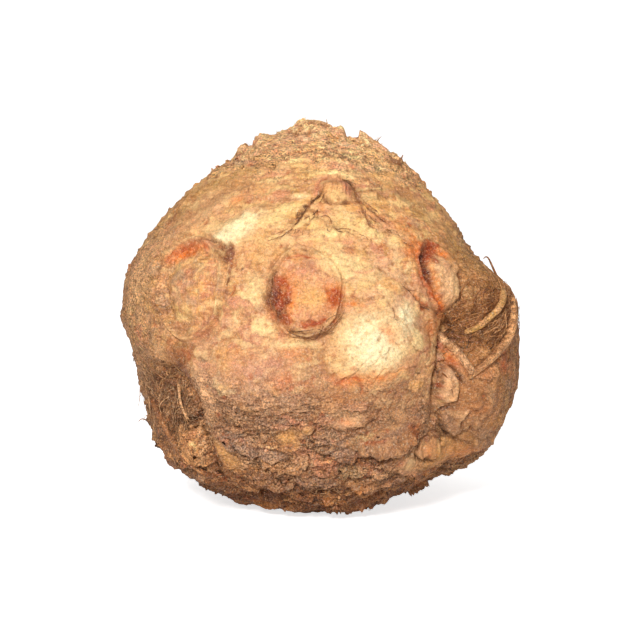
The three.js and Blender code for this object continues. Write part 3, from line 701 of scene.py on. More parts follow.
LINES = (
    # the furrows and the hood beside the bud, and its ribs
    Line(((0.5, 49), (-0.4, 46.8), (-3.3, 43.6), (-4.7, 41.6), (-6.5, 39.2), (-8.9, 35.1), (-12.3, 31.7),
         (-17.5, 29.3)), 0.55, 0.36, UMBER, 0.75, 9, tint=1.4),
    Line(((-1.6, 47), (-3.6, 44.4), (-5.8, 41.8), (-8, 39), (-10.4, 35.6), (-13, 33)), 0.4, 1, BROWN, 0.7,
         6),
    Line(((18.6, 41), (20.6, 38.4), (24.4, 35.4), (29.6, 31.4), (33, 27)), 0.3, 0.3, BROWN, 0.7, 4),
    Line(((0, 43.4), (-1.5, 39.8), (-2.6, 37.9), (-4.3, 35.7), (-5.8, 32.5)), 0.35, 0.32, UMBER, 0.65, 4),
    Line(((-3, 46.3), (-1.8, 49), (-0.5, 51.5), (2, 53.6), (5.1, 54.6)), 0.7, 0.9, ROSE, 0.9),
    Line(((-1.4, 49.4), (0, 51.8), (2.4, 53.6), (5.4, 54.2)), 0.4, 0.35, UMBER, 0.7),
    Line(((10.8, 53.8), (14.4, 52.2), (16.2, 50), (16.7, 47.1), (17, 45)), 0.8, 1, UMBER, 0.85, 5),
    Line(((17.2, 45.4), (17.7, 40.8), (17.9, 38.5), (18.8, 36.1), (22, 32.6)), 0.5, 0.5, UMBER, 0.85, 5),
    Line(((17.4, 45.1), (20.1, 42.4), (22, 40.5), (23.5, 38.6), (27.5, 35.4)), 0.5, 0.45, UMBER, 0.85, 5),
    Line(((0.9, 49.6), (1.3, 47.2), (2.6, 45.2), (5, 44), (9.4, 43.8), (12.4, 44.2)), 0.8, 0.4, UMBER, 0.7),
    Line(((5.2, 50.9), (5, 48.6), (4.8, 46.6)), 0.2, 0.26, BROWN, 0.7),
    Line(((7.6, 51.2), (7.3, 48.6), (6.9, 46.2)), 0.2, 0.26, BROWN, 0.7),
    Line(((10.1, 51.6), (9.7, 49), (9.2, 46.2)), 0.35, 0.3, UMBER, 0.65),
    Line(((12.1, 51.4), (11.6, 48.6), (11, 46)), 0.4, 0.3, MAROON, 0.7),
    Line(((13.8, 50.8), (13.4, 48.4), (12.8, 45.8)), 0.3, 0.28, MAROON, 0.5),
    Line(((-1.1, 38), (1.9, 37.5), (3.9, 34.9), (8.9, 33.9), (13.1, 32.3), (16.5, 31.3), (17.3, 29.6)),
         0.4, 0.4, BROWN, 0.55, 2),
    Line(((18.3, 21.7), (21.1, 20.1)), 0.6, 0.5, BROWN, 0.8),
    Line(((10, 21), (14, 20.6), (18, 21.5)), 0.4, 0.5, ROSE, 0.6),
    Line(((19.4, 13), (19.9, 11), (21, 8.7), (22.6, 5.5)), 0.4, 0.4, BROWN, 0.6, 1),
    Line(((15.3, 12.8), (10.5, 11.9)), 0.3, 0.4, BROWN, 0.6),
    Line(((6, 11), (9.5, 11.5), (13, 10.6)), 0.3, 0.8, ORANGE, 0.7),
    Line(((-20.6, 24), (-19, 21), (-16.7, 19)), 0.5, 0.6, BROWN, 0.6),
    # bands round the upper dome
    Line(((-80, 40), (-69.6, 45.4), (-54.9, 50.9), (-40.9, 57.5), (-20, 61)), 0, 3, OLIVE, 0.6),
    Line(((-70, 30), (-58.5, 38.1), (-44, 49.6), (-30, 54)), 0.4, 3, BROWN, 0.6),
    Line(((40, 52), (52, 44), (60, 36), (66, 30)), 0.3, 2.4, BROWN, 0.4),
    # the centre scar's rims
    Line(((-12.3, 24.4), (-8, 26), (-4.1, 25.8), (0, 25)), 0.5, 0.5, RUST, 0.9),
    Line(((-13.6, 21.6), (-15.4, 18), (-15.4, 14), (-13.6, 9.4), (-9.5, 5.2)), 0.8, 0.7, UMBER, 0.85, 2),
    Line(((-12, 5.8), (-8, 3.4), (-3, 3), (2, 4.6), (5.4, 9), (6.6, 14)), 0.6, 0.5, UMBER, 0.8, 2),
    Line(((-9, 1.6), (-4, 0.9), (0, 1.8), (4, 4.6), (7.4, 9)), 0.4, 0.5, UMBER, 0.6, 2),
    Line(((-4, 5.6), (0, 6.2), (2.6, 8.6)), 0.3, 0.8, RUST, 0.8),
    Line(((7, 16), (6.4, 10), (3, 5), (-1, 1.6), (-6, 1)), 0.6, 0.8, BROWN, 0.6),
    # the pale boss's edge
    Line(((7, 5.6), (3.4, 3.4), (1.4, -0.4), (0.9, -6), (2.9, -9.7), (7.2, -12.6)), 0.4, 0.7, BROWN, 0.5),
    Line(((4, -11), (7.2, -11.2), (11, -10.4), (15, -10.6), (20.9, -9.4), (26, -6)), 0.2, 2, ORANGE, 0.5),
    # the right scar's rust and the folds round it
    Line(((45.4, 29.2), (42.9, 28.7), (39.6, 26.9), (36.8, 24.2), (36, 21.8), (35.9, 19.6), (35.5, 17.1),
         (35.5, 14.4)), 1.1, 2.5, RUST, 1.1),
    Line(((42, 28.4), (38.6, 26.6), (36.7, 23.6), (36.6, 20.8), (37.1, 17.6), (38.3, 14)), 0.7, 1.7,
         MAROON, 1.25),
    Line(((36.6, 15.6), (38.8, 12.4), (41.8, 9), (45, 6.8)), 0.2, 1.8, ORANGE, 0.9),
    Line(((35.6, 15.4), (36.8, 13.4), (38.8, 11.4), (40.8, 9.4), (42.8, 7.6), (45, 6.2)), 0.7, 0.8, RUST,
         1),
    Line(((41.9, 7.6), (45, 6.5), (48.3, 6.1), (50, 7)), 0.5, 0.6, BROWN, 0.8),
    Line(((52, 28.4), (53.6, 26.4), (54.4, 23.6), (54, 20), (53, 16.6), (52.6, 12.6), (51.6, 9),
         (50, 6.6)), 1, 0.8, UMBER, 0.7),
    Line(((25.4, 16.7), (29.3, 13.6), (33.4, 9.5), (38.2, 8.3), (45.1, 6)), 0.6, 0.7, BROWN, 0.7, 2),
    Line(((54, 32), (58, 25), (58.6, 17), (56, 10)), 0.4, 0.6, BROWN, 0.6),
    # the left scar's arch
    Line(((-55.6, 20.4), (-53.6, 22.9), (-51.4, 25.2), (-49.2, 26.9), (-46, 28.3), (-42, 28.9)), 0.9, 0.8,
         RUST, 0.65),
    Line(((-46, 28.4), (-41.7, 29), (-38.7, 29.2), (-35.6, 28.4), (-32.6, 27.4), (-29, 27)), 0.9, 0.5,
         UMBER, 0.85),
    Line(((-37.4, 27.8), (-35, 25.8), (-32.8, 23.8), (-31.4, 21.4)), 0.6, 0.4, UMBER, 0.75),
    Line(((-36, 28.2), (-33.6, 26.2), (-31.6, 23.6), (-30.4, 21)), 0.5, 0.35, UMBER, 0.7),
    Line(((-28.9, 23.8), (-28.7, 21.3), (-28.4, 18.9), (-28.1, 16.2), (-28.3, 13.6), (-28.5, 11)), 0.8,
         0.5, UMBER, 0.8),
    Line(((-35.6, 15.7), (-34.1, 15.9), (-32.3, 15.7)), 0.3, 0.3, UMBER, 0.8),
    Line(((-27.2, 12.8), (-26, 14.4), (-25.2, 17.4)), 0.4, 0.5, RUST, 0.6),
    Line(((-57.6, 22), (-57, 18), (-56, 13), (-55, 7), (-52.6, 2)), 1, 0.7, UMBER, 0.75),
    Line(((-51, -0.4), (-46, -2.6), (-39, -2.4), (-33, 2)), 0.8, 0.8, UMBER, 0.55),
    # folds and flaps of the lower skin: the left side of each line is the raised one
    # Their dark and umber colour in the gaps below the raised sides is partly soil, partly painted shadow;
    # their cream and pale tan ridges are partly their own pale colour, partly a painted highlight.
    Line(((12.6, -16), (12.4, -12.6), (10.6, -9.8), (7.2, -10.8), (2.9, -11.8)), 0.5, 0.5, RUST, 0.6,
         lip=0.6, lip_reach=2),
    Line(((12.2, -27.4), (13.4, -26.6), (16.3, -25.4), (18.4, -24.4)), 0.7, 0.5, UMBER, 0.9),
    Line(((3.6, -26.6), (4.8, -26.9), (8.4, -27.3), (12, -27.1)), 0.6, 0.4, UMBER, 0.75),
    Line(((13.8, -30.9), (17, -31.3), (20, -31), (23, -30.5)), 0.4, 0.5, RUST, 0.8),
    # The tongue's lower lip: its dark colour is painted shadow under the lip, over a cut crease.
    Line(((13.4, -37.4), (15.3, -36.4), (17.4, -35.2), (19.4, -35.7), (21.9, -35.9), (25.1, -35.2),
         (27.6, -34.4), (31, -34.4), (33.4, -33)), 2.2, 0.9, DARK, 1, lip=1.9),
    Line(((13.6, -37), (12.8, -35), (13.2, -32.6)), 1, 0.5, UMBER, 0.85),
    Line(((18.6, -43.1), (22.3, -43.7), (25, -43.9), (27.7, -43.4), (31.5, -42.6)), 1.2, 0.5, DARK, 0.9,
         lip=0.3, lip_reach=2),
    Line(((9, -43.6), (12, -43.9), (15, -44.3), (18.6, -44)), 1, 0.5, DARK, 0.9, lip=0.3, lip_reach=2),
    Line(((25, -49.6), (29, -49.9), (33.4, -50.4), (39, -50)), 1.2, 0.5, DARK, 0.9, lip=0.3, lip_reach=2),
    Line(((0, -30.2), (1.6, -30.8), (3.4, -31.9), (6.8, -32.8)), 0.7, 0.4, UMBER, 0.8),
    Line(((-31.4, -30.4), (-29.8, -32.9), (-28.5, -34.9), (-26.5, -35.9), (-24.6, -36.6), (-22.8, -38)),
         1.5, 0.6, DARK, 0.95, lip=0.5),
    Line(((-24.4, -40), (-20.8, -41.1), (-18.4, -42.4), (-16.8, -45.2), (-14.4, -48)), 1.1, 0.5, DARK,
         0.85, lip=0.3, lip_reach=2),
    Line(((-36, -20), (-30, -25), (-22, -28.2), (-12, -27), (-7, -24)), 0.4, 0.5, UMBER, 0.5, lip=0.4),
    Line(((-30, -18), (-22, -21.6), (-12, -20.6), (-3, -17.6)), 0.3, 0.5, UMBER, 0.4, lip=0.4,
         lip_reach=2.4),
    Line(((-59, -39.4), (-55, -40.8), (-51, -41), (-47.4, -41.2), (-44.6, -42)), 1.2, 0.6, DARK, 0.9),
    Line(((42.2, -8.4), (41, -10.8), (40.5, -13.8), (40.9, -17.6)), 1.3, 0.55, DARK, 1, 1),
    Line(((44.4, -9.4), (45.8, -10.8), (46.8, -12.8), (47.8, -14.6)), 1.1, 0.6, DARK, 0.95, 1),
    Line(((46.8, -16.4), (47.5, -18.4), (48.2, -20)), 0.8, 0.5, UMBER, 0.85),
    Line(((43, -26), (43.4, -23.8), (44.8, -22.8), (46.2, -22), (47.6, -20)), 1.5, 0.6, DARK, 1),
    Line(((41.6, -19.6), (43.4, -21.2), (45.6, -20.6)), -0.3, 0.4, CREAM, 0.7),
    Line(((43.9, -25.4), (44.6, -27.6), (46.6, -30), (49.4, -31.7), (52.9, -33), (56, -33.5), (60, -33.8)),
         1.6, 0.65, DARK, 1, lip=0.5),
    Line(((51.4, -22), (51.6, -25), (52.2, -28), (53.2, -31)), 0.9, 0.5, UMBER, 0.85),
    Line(((50, -22.6), (50.2, -25), (50.8, -27.6)), -0.6, 0.6, PALE_TAN, 0.7),
    Line(((52.8, -26.6), (56.2, -28.2), (60, -28.4)), 0.8, 0.45, UMBER, 0.85),
    Line(((49, -12), (52, -15.4), (54.6, -19), (55, -22)), 0.7, 0.8, BROWN, 0.5),
    Line(((58, -8), (58.6, -13), (61, -18), (60, -24)), 0.6, 0.8, BROWN, 0.5),
    Line(((34, -35.2), (36, -37), (38.6, -38), (41.7, -38.3), (45.2, -37.6), (47, -35.6)), 1.4, 0.65, DARK,
         1),
    Line(((46.6, -36.4), (47, -34.4), (46, -32.2)), 0.8, 0.5, UMBER, 0.85),
    Line(((34.8, -34.8), (35.8, -32.8), (38, -31.5), (41.4, -31.2), (44.8, -32.4)), 0.8, 0.45, UMBER, 0.75),
    Line(((-57, -27.6), (-52, -26.9), (-48.2, -26.5), (-43.6, -26.3)), 1.6, 0.8, DARK, 1),
    Line(((-54.2, -27.6), (-54.4, -33), (-52.9, -38.4)), 0.8, 0.5, UMBER, 0.8),
    Line(((-40.6, -28), (-40.2, -32.4), (-41.6, -38)), 0.7, 0.45, UMBER, 0.7),
    Line(((-43.4, -27), (-41.4, -31), (-41.4, -35.4), (-43, -39)), 1, 0.6, UMBER, 0.85),
    Line(((-44.2, -27.6), (-43, -31), (-42.9, -34.6), (-44.2, -37.8)), -0.8, 0.7, PALE_TAN, 0.9),
    Line(((-47.4, -31.5), (-45.6, -31.7), (-44.8, -33.6)), -0.6, 0.45, CREAM, 0.9),
)


def body_radius(d: Array) -> Array:
    """Returns the plain body: four meridians blended by the squared cosine of the azimuth between them."""
    step = (np.degrees(np.arcsin(np.clip(d[:, 2], -1, 1))) + 90) / MERIDIAN_STEP
    level = np.maximum(np.hypot(d[:, 0], d[:, 1]), 1e-9)
    across, forward = d[:, 0] / level, -d[:, 1] / level
    line = {side: through_values(np.array(radii, dtype=float), step) for side, radii in MERIDIANS.items()}
    side = np.where(across > 0, line["right"], line["left"])
    face = np.where(forward > 0, line["front"], line["back"])
    return across**2 * side + forward**2 * face


def ripple(d: Array, f: float, seed: float) -> Array:
    """Returns slow irregular waves over the sphere, between about -1 and 1, from nested sines."""
    x, y, z = d.T
    a = np.sin(f * x + 1.3 * np.sin(0.9 * f * y + seed) + seed)
    b = np.sin(1.1 * f * y + 1.3 * np.sin(0.8 * f * z + 2 * seed) + 1.7 * seed)
    c = np.sin(1.2 * f * z + 1.3 * np.sin(f * x + 3 * seed) + 2.3 * seed)
    return 0.5 * (a * b + c)


def reach(d: Array, mark: Mark | Scar) -> tuple[Array, Array, Array]:
    """Measures how far directions are from a feature's middle, where 1 is its edge, which wavers a little.

    Args:
        d: the directions.
        mark: the feature.

    Returns:
        The reach, and the distances across and up along the skin.
    """
    c = direction(*mark.at)
    east = np.array([math.cos(math.radians(mark.at[0])), math.sin(math.radians(mark.at[0])), 0.0])
    north = np.cross(c, east)
    facing = d @ c
    cos, sin = math.cos(math.radians(mark.turn)), math.sin(math.radians(mark.turn))
    safe = np.maximum(facing, HORIZON)
    u = SKIN_RADIUS * np.arctan2(d @ east * cos + d @ north * sin, safe)
    v = SKIN_RADIUS * np.arctan2(d @ north * cos - d @ east * sin, safe)
    angle = np.arctan2(v, u)
    waver = 1 + 0.05 * np.sin(2 * angle + mark.at[0]) + 0.03 * np.sin(5 * angle + mark.at[1])
    rho = np.hypot(u / mark.size[0], v / mark.size[1]) * waver
    return np.where(facing < HORIZON, FAR, rho), u, v


def scar_relief(rho: Array, scar: Scar) -> Array:
    """Returns a scar's relief: a sunk floor, a raised middle, a rim at a reach of 1 and a moat round it."""
    half = sum(scar.size) / 2
    floor = -scar.sink / (1 + np.exp(np.clip((rho - 0.93) * half / 0.55, -40, 40)))
    rim = scar.rim * np.exp(-(((rho - 1) * half / scar.rim_width) ** 2))
    inner = 0.35 * scar.rim * np.exp(-(((rho - 0.86) * half / (0.7 * scar.rim_width)) ** 2))
    moat = -scar.moat * np.exp(-(((rho - 1) * half / scar.rim_width - 1.7) ** 2))
    return np.where(rho > 2.5, 0, floor + rim + inner + moat + scar.middle * np.exp(-((rho / 0.7) ** 4)))


def along(d: Array, line: Line, margin: float) -> tuple[Array, Array, Array, Array]:
    """Measures directions against a line over places.

    Args:
        d: the directions.
        line: the line.
        margin: the distance in millimetres beyond which directions are left out.

    Returns:
        Which directions are near, and for those the distance from the line, the share of its length
        and the signed distance, which is positive on the line's left.
    """
    knots = direction(*np.array(line.through, dtype=float).T)
    steps = PATH_STEPS * (len(knots) - 1)
    path = unit(through_values(knots, np.arange(steps + 1) / PATH_STEPS))
    middle = unit(path.mean(axis=0))
    widest = np.degrees(np.arccos(np.clip((path @ middle).min(), -1, 1)))
    limit = math.cos(math.radians(min(widest + math.degrees(margin / SKIN_RADIUS), 179)))
    near = np.nonzero(d @ middle > limit)[0]
    p = d[near]
    best = np.full(len(near), 1e9)
    share = np.zeros(len(near))
    side = np.zeros(len(near))
    for i in range(steps):
        run = path[i + 1] - path[i]
        t = np.clip((p - path[i]) @ run / (run @ run), 0, 1)
        off = p - unit(path[i] + t[:, None] * run)
        gap = SKIN_RADIUS * np.linalg.norm(off, axis=1)
        closer = gap < best
        best = np.where(closer, gap, best)
        share = np.where(closer, (i + t) / steps, share)
        side = np.where(closer, np.sign(np.cross(path[i], run) @ p.T), side)
    return near, best, share, best * side


def form_radius(d: Array) -> Array:
    """Returns the tuber's radius without its fine relief: body, waves, lobes, scars and creases."""
    drift = np.stack([ripple(d, 7, k) for k in (1, 2, 3)], axis=-1)
    w = unit(d + 0.02 * drift)
    r = body_radius(d) + 0.8 * ripple(d, 4.5, 0.6) + 0.5 * ripple(d, 10, 1.9)
    for mark in LOBES:
        r += mark.height * np.exp(-(reach(w, mark)[0] ** mark.power))
    for scar in SCARS:
        r += scar_relief(reach(w, scar)[0], scar)
    for crease in CREASES:
        near, gap, share, _ = along(w, crease, 4 * crease.width)
        taper = np.sqrt(np.sin(np.pi * np.clip(share, 0.02, 0.98)))
        r[near] -= crease.depth * taper * np.exp(-((gap / crease.width) ** 2))
    return r


def on_skin(d: Array, height: Array | float = 0.0) -> Array:
    """Returns points at a height over the skin, in the part's own frame."""
    return CORE + d * (form_radius(d) + height)[:, None]


class Skin:
    """The tuber's whole surface over a set of directions: its relief, its colour and its texture masks."""

    def __init__(self, directions: Array) -> None:
        """Works the surface out.

        Args:
            directions: unit vectors from the tuber's centre.
        """
        self.d = directions
        self.radius = form_radius(directions)
        self.azimuth = np.degrees(np.arctan2(directions[:, 0], -directions[:, 1]))
        self.elevation = np.degrees(np.arcsin(np.clip(directions[:, 2], -1, 1)))
        self.noise = GradientNoise(SKIN_SEED)
        self.cells = CellNoise(PORE_SEED)
        self.points = directions * SKIN_RADIUS
        drift = np.stack([self.waves(2.6, 31 * k, 2) for k in range(3)], axis=-1)
        sway = np.stack([self.waves(6, 57 * k) for k in range(3)], axis=-1)
        self.frayed = unit(self.points + 0.55 * drift)
        self.torn = unit(self.points + 0.7 * drift + 1.5 * sway)
        self.ragged = unit(self.points + 1.1 * drift + 0.5 * sway)
        self.fibre = np.zeros(len(directions))
        self.gloss = np.zeros(len(directions))
        self.patches = 1 + 0.7 * self.waves(1.4, 21, 2)
        self.crust = self._crust_cover()
        self.tone = self._base_tone()
        self._wrinkle_dome()
        self._flake_crust()
        self._shingle()
        self._mark()
        self._line()
        self._speckle()
        self._weather_shade_and_light()
        self._stand_on_ground()

    def waves(self, size: float, shift: float = 0, count: int = 1) -> Array:
        """Returns layers of noise over the skin.

        Args:
            size: the widest layer's size in millimetres.
            shift: picks the noise.
            count: how many layers.
        """
        return self.noise.layers(self.points / size + shift, count)

    def blend(self, tone: Tone, share: Array) -> None:
        """Mixes a colour into the skin by a share from 0 to 1."""
        share = np.clip(share, 0, 1)[:, None]
        self.tone = self.tone * (1 - share) + tone.linear * share

    def mesh(self, name: str, faces: Array, sheet: Array) -> Piece:
        """Makes an object of the surface, with its colour and masks.

        Args:
            name: the object's name.
            faces: one row of direction numbers for each face.
            sheet: the place of each face corner in the texture sheet.

        Returns:
            The object.
        """
        made = join_mesh(name, CORE + self.d * self.radius[:, None], faces, sheet)
        coarse = np.maximum.reduce([self.crust, 0.9 * self.rough, self.flank])
        masks = {"tone": self.tone, "coarse": coarse, "fibre": self.fibre, "gloss": self.gloss}
        for label, values in masks.items():
            paint(made, label, values)
        return made

    def _crust_cover(self) -> Array:
        """Returns where the flaky crust covers the skin: below a wavering line, lower on the right."""
        azimuths = (-180, -120, -75, -50, -20, 0, 17, 35, 60, 90, 130, 180)
        edges = (-12, -10, -6, -8, -10, -9, -13, -13, -34, -30, -14, -12)
        edge = np.interp(self.azimuth, azimuths, edges)
        waver = 6 * self.waves(9) + 4 * self.waves(3.5, 5)
        cover = smooth(-4, 14, edge + waver - self.elevation)
        for scar in SCARS:
            cover *= 1 - np.exp(-((reach(self.frayed, scar)[0] / 1.35) ** 6))
        for mark in MARKS:
            if mark.bare:
                cover *= 1 - mark.bare * np.exp(-((reach(self.frayed, mark)[0] / 1.2) ** 4))
        return cover

    def _base_tone(self) -> Array:
        """Returns the ground colour: tan and gold above, mottled with rose, and brown towards the sides."""
        self.tone = np.repeat(TAN.linear[None], len(self.d), axis=0)
        wide, mid, small = self.waves(11, 3, 2), self.waves(4.5, 9, 3), self.waves(1.9, 29, 2)
        self.blend(GOLD, 0.8 * smooth(-0.3, 0.4, wide + 0.3 * mid))
        self.blend(ROSE, 0.65 * smooth(0.08, 0.32, mid))
        self.blend(CREAM, 0.5 * smooth(0.12, 0.4, -mid))
        self.blend(BROWN, 0.5 * smooth(0.1, 0.45, small))
        self.blend(CREAM, 0.35 * smooth(0.1, 0.45, -small))
        # Fine grooves, darker inside: partly dirt, partly painted shade.
        seams = smooth(0.07, 0, np.abs(self.waves(9, 77, 2))) * smooth(24, -6, self.elevation)
        self.radius -= 0.5 * seams
        self.blend(UMBER, 0.35 * seams)
        flank = smooth(0.66, 0.98, np.abs(self.d[:, 0])) + smooth(0.2, -0.5, -self.d[:, 1])
        self.flank = np.clip(flank, 0, 1)
        self.blend(BROWN, 0.55 * np.clip(flank + 0.3 * mid, 0, 1))
        lobe = smooth(1.1, 0.85, reach(self.frayed, LOBES[2])[0])
        self.blend(LOBE, 0.9 * lobe)
        self.blend(OLIVE, 0.5 * lobe * smooth(0, 0.4, mid + small))
        dusk = np.sqrt(self.crust)
        self.blend(CRUST, 0.85 * dusk)
        self.blend(GREY, 0.6 * dusk * smooth(0, 0.4, wide))
        self.blend(BROWN, 0.65 * dusk * smooth(0, 0.45, mid))
        self.blend(PALE_TAN, 0.4 * dusk * smooth(0.1, 0.5, -mid))
        # Darker towards the ground, on the crust and at the sides, and umber at the very bottom: partly the
        # skin's own browner colour and soil, partly painted shade.
        up = self.elevation
        low = 0.08 * smooth(22, 4, up) + 0.1 * smooth(4, -24, up) + 0.27 * smooth(-32, -52, up)
        bright = 0.11 * smooth(0.05, 0.3, self.d[:, 0]) * smooth(0.35, 0.6, self.d[:, 2])
        beside = 0.1 * smooth(52, 70, np.abs(self.azimuth))
        self.tone *= (1 + bright - 0.22 * dusk - low - beside)[:, None]
        self.blend(UMBER, 0.6 * smooth(-44, -60, self.elevation + 5 * mid))
        return self.tone

    def _wrinkle_dome(self) -> None:
        """Adds fine ridges round the crown, lumps everywhere and the pitted skin about the leaf bases.

        The ridges are noise drawn out along the rings about the crown's axis.
        """
        out = np.degrees(np.arccos(np.clip(self.d @ CROWN_AXIS, -1, 1)))
        ring = np.stack([self.points[:, 0] / 7, self.points[:, 1] / 7, out / 1.1], axis=-1)
        broad = np.stack([self.points[:, 0] / 14, self.points[:, 1] / 14, out / 2.9], axis=-1)
        upper = smooth(5, 30, self.elevation + 8 * self.waves(12)) * (1 - 0.7 * smooth(30, 15, out))
        fine, wide = self.noise.layers(ring, 2), self.noise.layers(broad + 7, 2)
        lumps, grain = self.waves(5.5, 2, 3), self.waves(1.8, 8, 2)
        knots = np.maximum(self.waves(3.1, 15, 2), 0) ** 2
        self.radius += upper * (0.16 * fine + 0.24 * wide) + 0.45 * lumps + 0.13 * grain + 0.9 * knots
        self.blend(BROWN, upper * 0.75 * smooth(0, 0.45, fine - 0.15))
        self.blend(OLIVE, upper * 0.32 * smooth(0.05, 0.5, wide))
        self.blend(PALE_TAN, upper * 0.3 * smooth(0.05, 0.5, -wide))
        self.blend(CREAM, upper * 0.3 * smooth(0.05, 0.5, -fine))
        # Umber in the low places between the lumps: partly dirt, partly painted shade.
        self.blend(UMBER, 0.35 * smooth(0.2, 0.6, -lumps - 0.3 * grain) * smooth(60, 20, self.elevation))
        crown = smooth(47, 34, out + 9 * lumps)
        pits = smooth(0.42, 0.2, self.cells(self.points / 1.7 + 60)[0])
        spongy = self.waves(2.4, 40, 3)
        self.radius += crown * (0.9 * spongy - 0.5 * pits)
        self.fibre = np.maximum(self.fibre, 0.3 * crown)
        self.rough = crown
        self.blend(ROSE, 0.5 * crown * smooth(-0.1, 0.4, spongy))
        self.blend(CREAM, 0.5 * crown * smooth(0, 0.4, grain))
        self.blend(BROWN, 0.5 * crown * smooth(0.1, 0.5, -spongy))
        self.blend(UMBER, 0.45 * crown * pits)

    def _flake_crust(self) -> None:
        """Adds layers of torn skin, plates and wrinkles to the crust.

        A layer's edge is a contour of warped noise, drawn out sideways. The skin steps up where the noise
        crosses a whole number and slopes down to the next one. Plates are random cells, each tilted,
        with cracks between them.
        """
        flat = self.points * np.array([0.72, 0.72, 1.9])
        warp = np.stack([self.waves(5, 13 * k) for k in range(3)], axis=-1)
        for size, rise, count, shift in ((13, 1.3, 2.6, 0), (7, 0.5, 2.2, 40), (3.4, 0.16, 2.2, 80)):
            level = count * self.noise.layers((flat + 2 * warp) / size + shift, 2)
            level -= self.points[:, 2] / (1.7 * size)
            part = level - np.floor(level)
            step = smooth(0, 0.12, part) * (1 - part) * 1.1
            amount = self.crust * smooth(-0.35, 0.25, self.noise(self.points / (1.4 * size) + shift + 7))
            self.radius += rise * amount * (step - 0.4)
            # Umber and dark at the foot of each step are partly dirt, partly painted shadow; pale tan on its
            # rising lip is partly the torn edge's own colour, partly a painted highlight.
            self.blend(UMBER, 0.75 * amount * smooth(0.86, 1, part) * min(1, 1.4 * rise))
            self.blend(DARK, 0.5 * amount * smooth(0.05, 0, part) * min(1, 1.2 * rise))
            self.blend(PALE_TAN, 0.45 * amount * smooth(0.05, 0.12, part) * smooth(0.4, 0.15, part))
        for size, lift, crack in ((8.5, 0.4, 0.05), (3.8, 0.1, 0.08)):
            _, border, value, away = self.cells((flat + 3.4 * warp) / size)
            gap = 1 - smooth(0, crack, border)
            cover = self.crust**2 * smooth(0.35, 0.6, value)
            self.radius += cover * (lift * (0.5 * value - away[:, 2]) - 0.7 * lift * gap)
            # Umber in the cracks between the plates: partly dirt, partly painted shade.
            self.blend(UMBER, cover * 0.45 * gap)
        wrinkles = self.noise.layers(self.points * [1 / 3.4, 1 / 3.4, 1 / 0.9] + 90, 2)
        self.radius += self.crust * (0.13 * wrinkles + 0.14 * self.waves(1.3, 3, 2))
        self.blend(BROWN, self.crust * 0.5 * smooth(0, 0.5, wrinkles))

    def _shingle(self) -> None:
        """Lays the plates: each rises towards its lower edge, and the highest at a place covers the rest.

        A plate with a power of 4 or more has the outline of a rounded square.
        """
        rng = np.random.default_rng(PLATE_SEED)
        layer = np.zeros(len(self.d))
        plates = [plate for patch in PLATE_PATCHES for plate in patch.scatter(rng)] + list(PLATES)
        for plate in plates:
            limit = math.cos(1.7 * max(plate.size) / SKIN_RADIUS)
            near = np.nonzero(self.torn @ direction(*plate.at) > limit)[0]
            rho, u, v = reach(self.torn[near] if plate.power < 4 else self.frayed[near], plate)
            if plate.power >= 4:
                rho = ((u / plate.size[0]) ** 6 + (v / plate.size[1]) ** 6) ** (1 / 6)
            below = smooth(0.7, -0.8, v / plate.size[1])
            inside = smooth(1.03, 0.88, rho)
            rise = plate.height * inside * (0.25 + 0.75 * below)
            step = min(1.0, plate.height)
            beyond = (rho - 1) * plate.size[1]
            # A painted shadow: a dark band just below each plate's lower edge.
            painted_shadow_skirt = np.exp(-(((beyond - 0.25) / 0.4) ** 2)) * below * 0.9 * step
            # A painted highlight: pale tan just inside each plate's lower edge.
            rim = np.exp(-(((beyond + 0.4) / 0.3) ** 2)) * below * 0.35 * step
            cover = inside * (rise >= layer[near]) * plate.strength
            for tone, share in ((plate.tone, cover), (PALE_TAN, rim), (DARK, 0.8 * painted_shadow_skirt)):
                self.tone[near] += np.clip(share, 0, 1)[:, None] * (tone.linear - self.tone[near])
            layer[near] = np.maximum(layer[near], rise)
        self.radius += layer

    def _mark(self) -> None:
        """Adds the scars' texture and the small reliefs and patches, with frayed edges."""
        broken = np.clip(0.55 + 1.3 * self.waves(4, 60), 0, 1)
        rough, ashy = self.waves(2.2, 66, 2), smooth(0, 0.4, self.waves(2.4, 70))
        for scar in SCARS:
            rho = reach(self.frayed, scar)[0]
            inside = smooth(1, 0.9, rho)
            self.fibre = np.maximum(self.fibre, scar.fibre * inside)
            half = sum(scar.size) / 2
            for place, amount in ((1.1, 0.7), (0.9, 0.45)):
                rim = np.exp(-(((rho - place) * half / 0.6) ** 2))
                self.blend(UMBER, amount * rim * broken)
            self.radius += 0.3 * inside * rough
            self.blend(GREY, 0.4 * inside * ashy)
        for mark in MARKS:
            stain = mark.tone in STAINS
            rho = reach(self.ragged if stain else self.frayed, mark)[0]
            weight = np.exp(-(rho**mark.power))
            self.radius += mark.height * weight
            if mark.tone:
                spread = np.exp(-(rho ** (2.2 * mark.power))) if stain else weight
                patchy = np.clip(self.patches, 0.8 if stain else 0.45, 1.2)
                self.blend(mark.tone, mark.strength * spread * patchy)
            if mark.tone in (MAROON, ORANGE, RUST):
                self.gloss = np.maximum(self.gloss, 0.6 * mark.strength * weight)

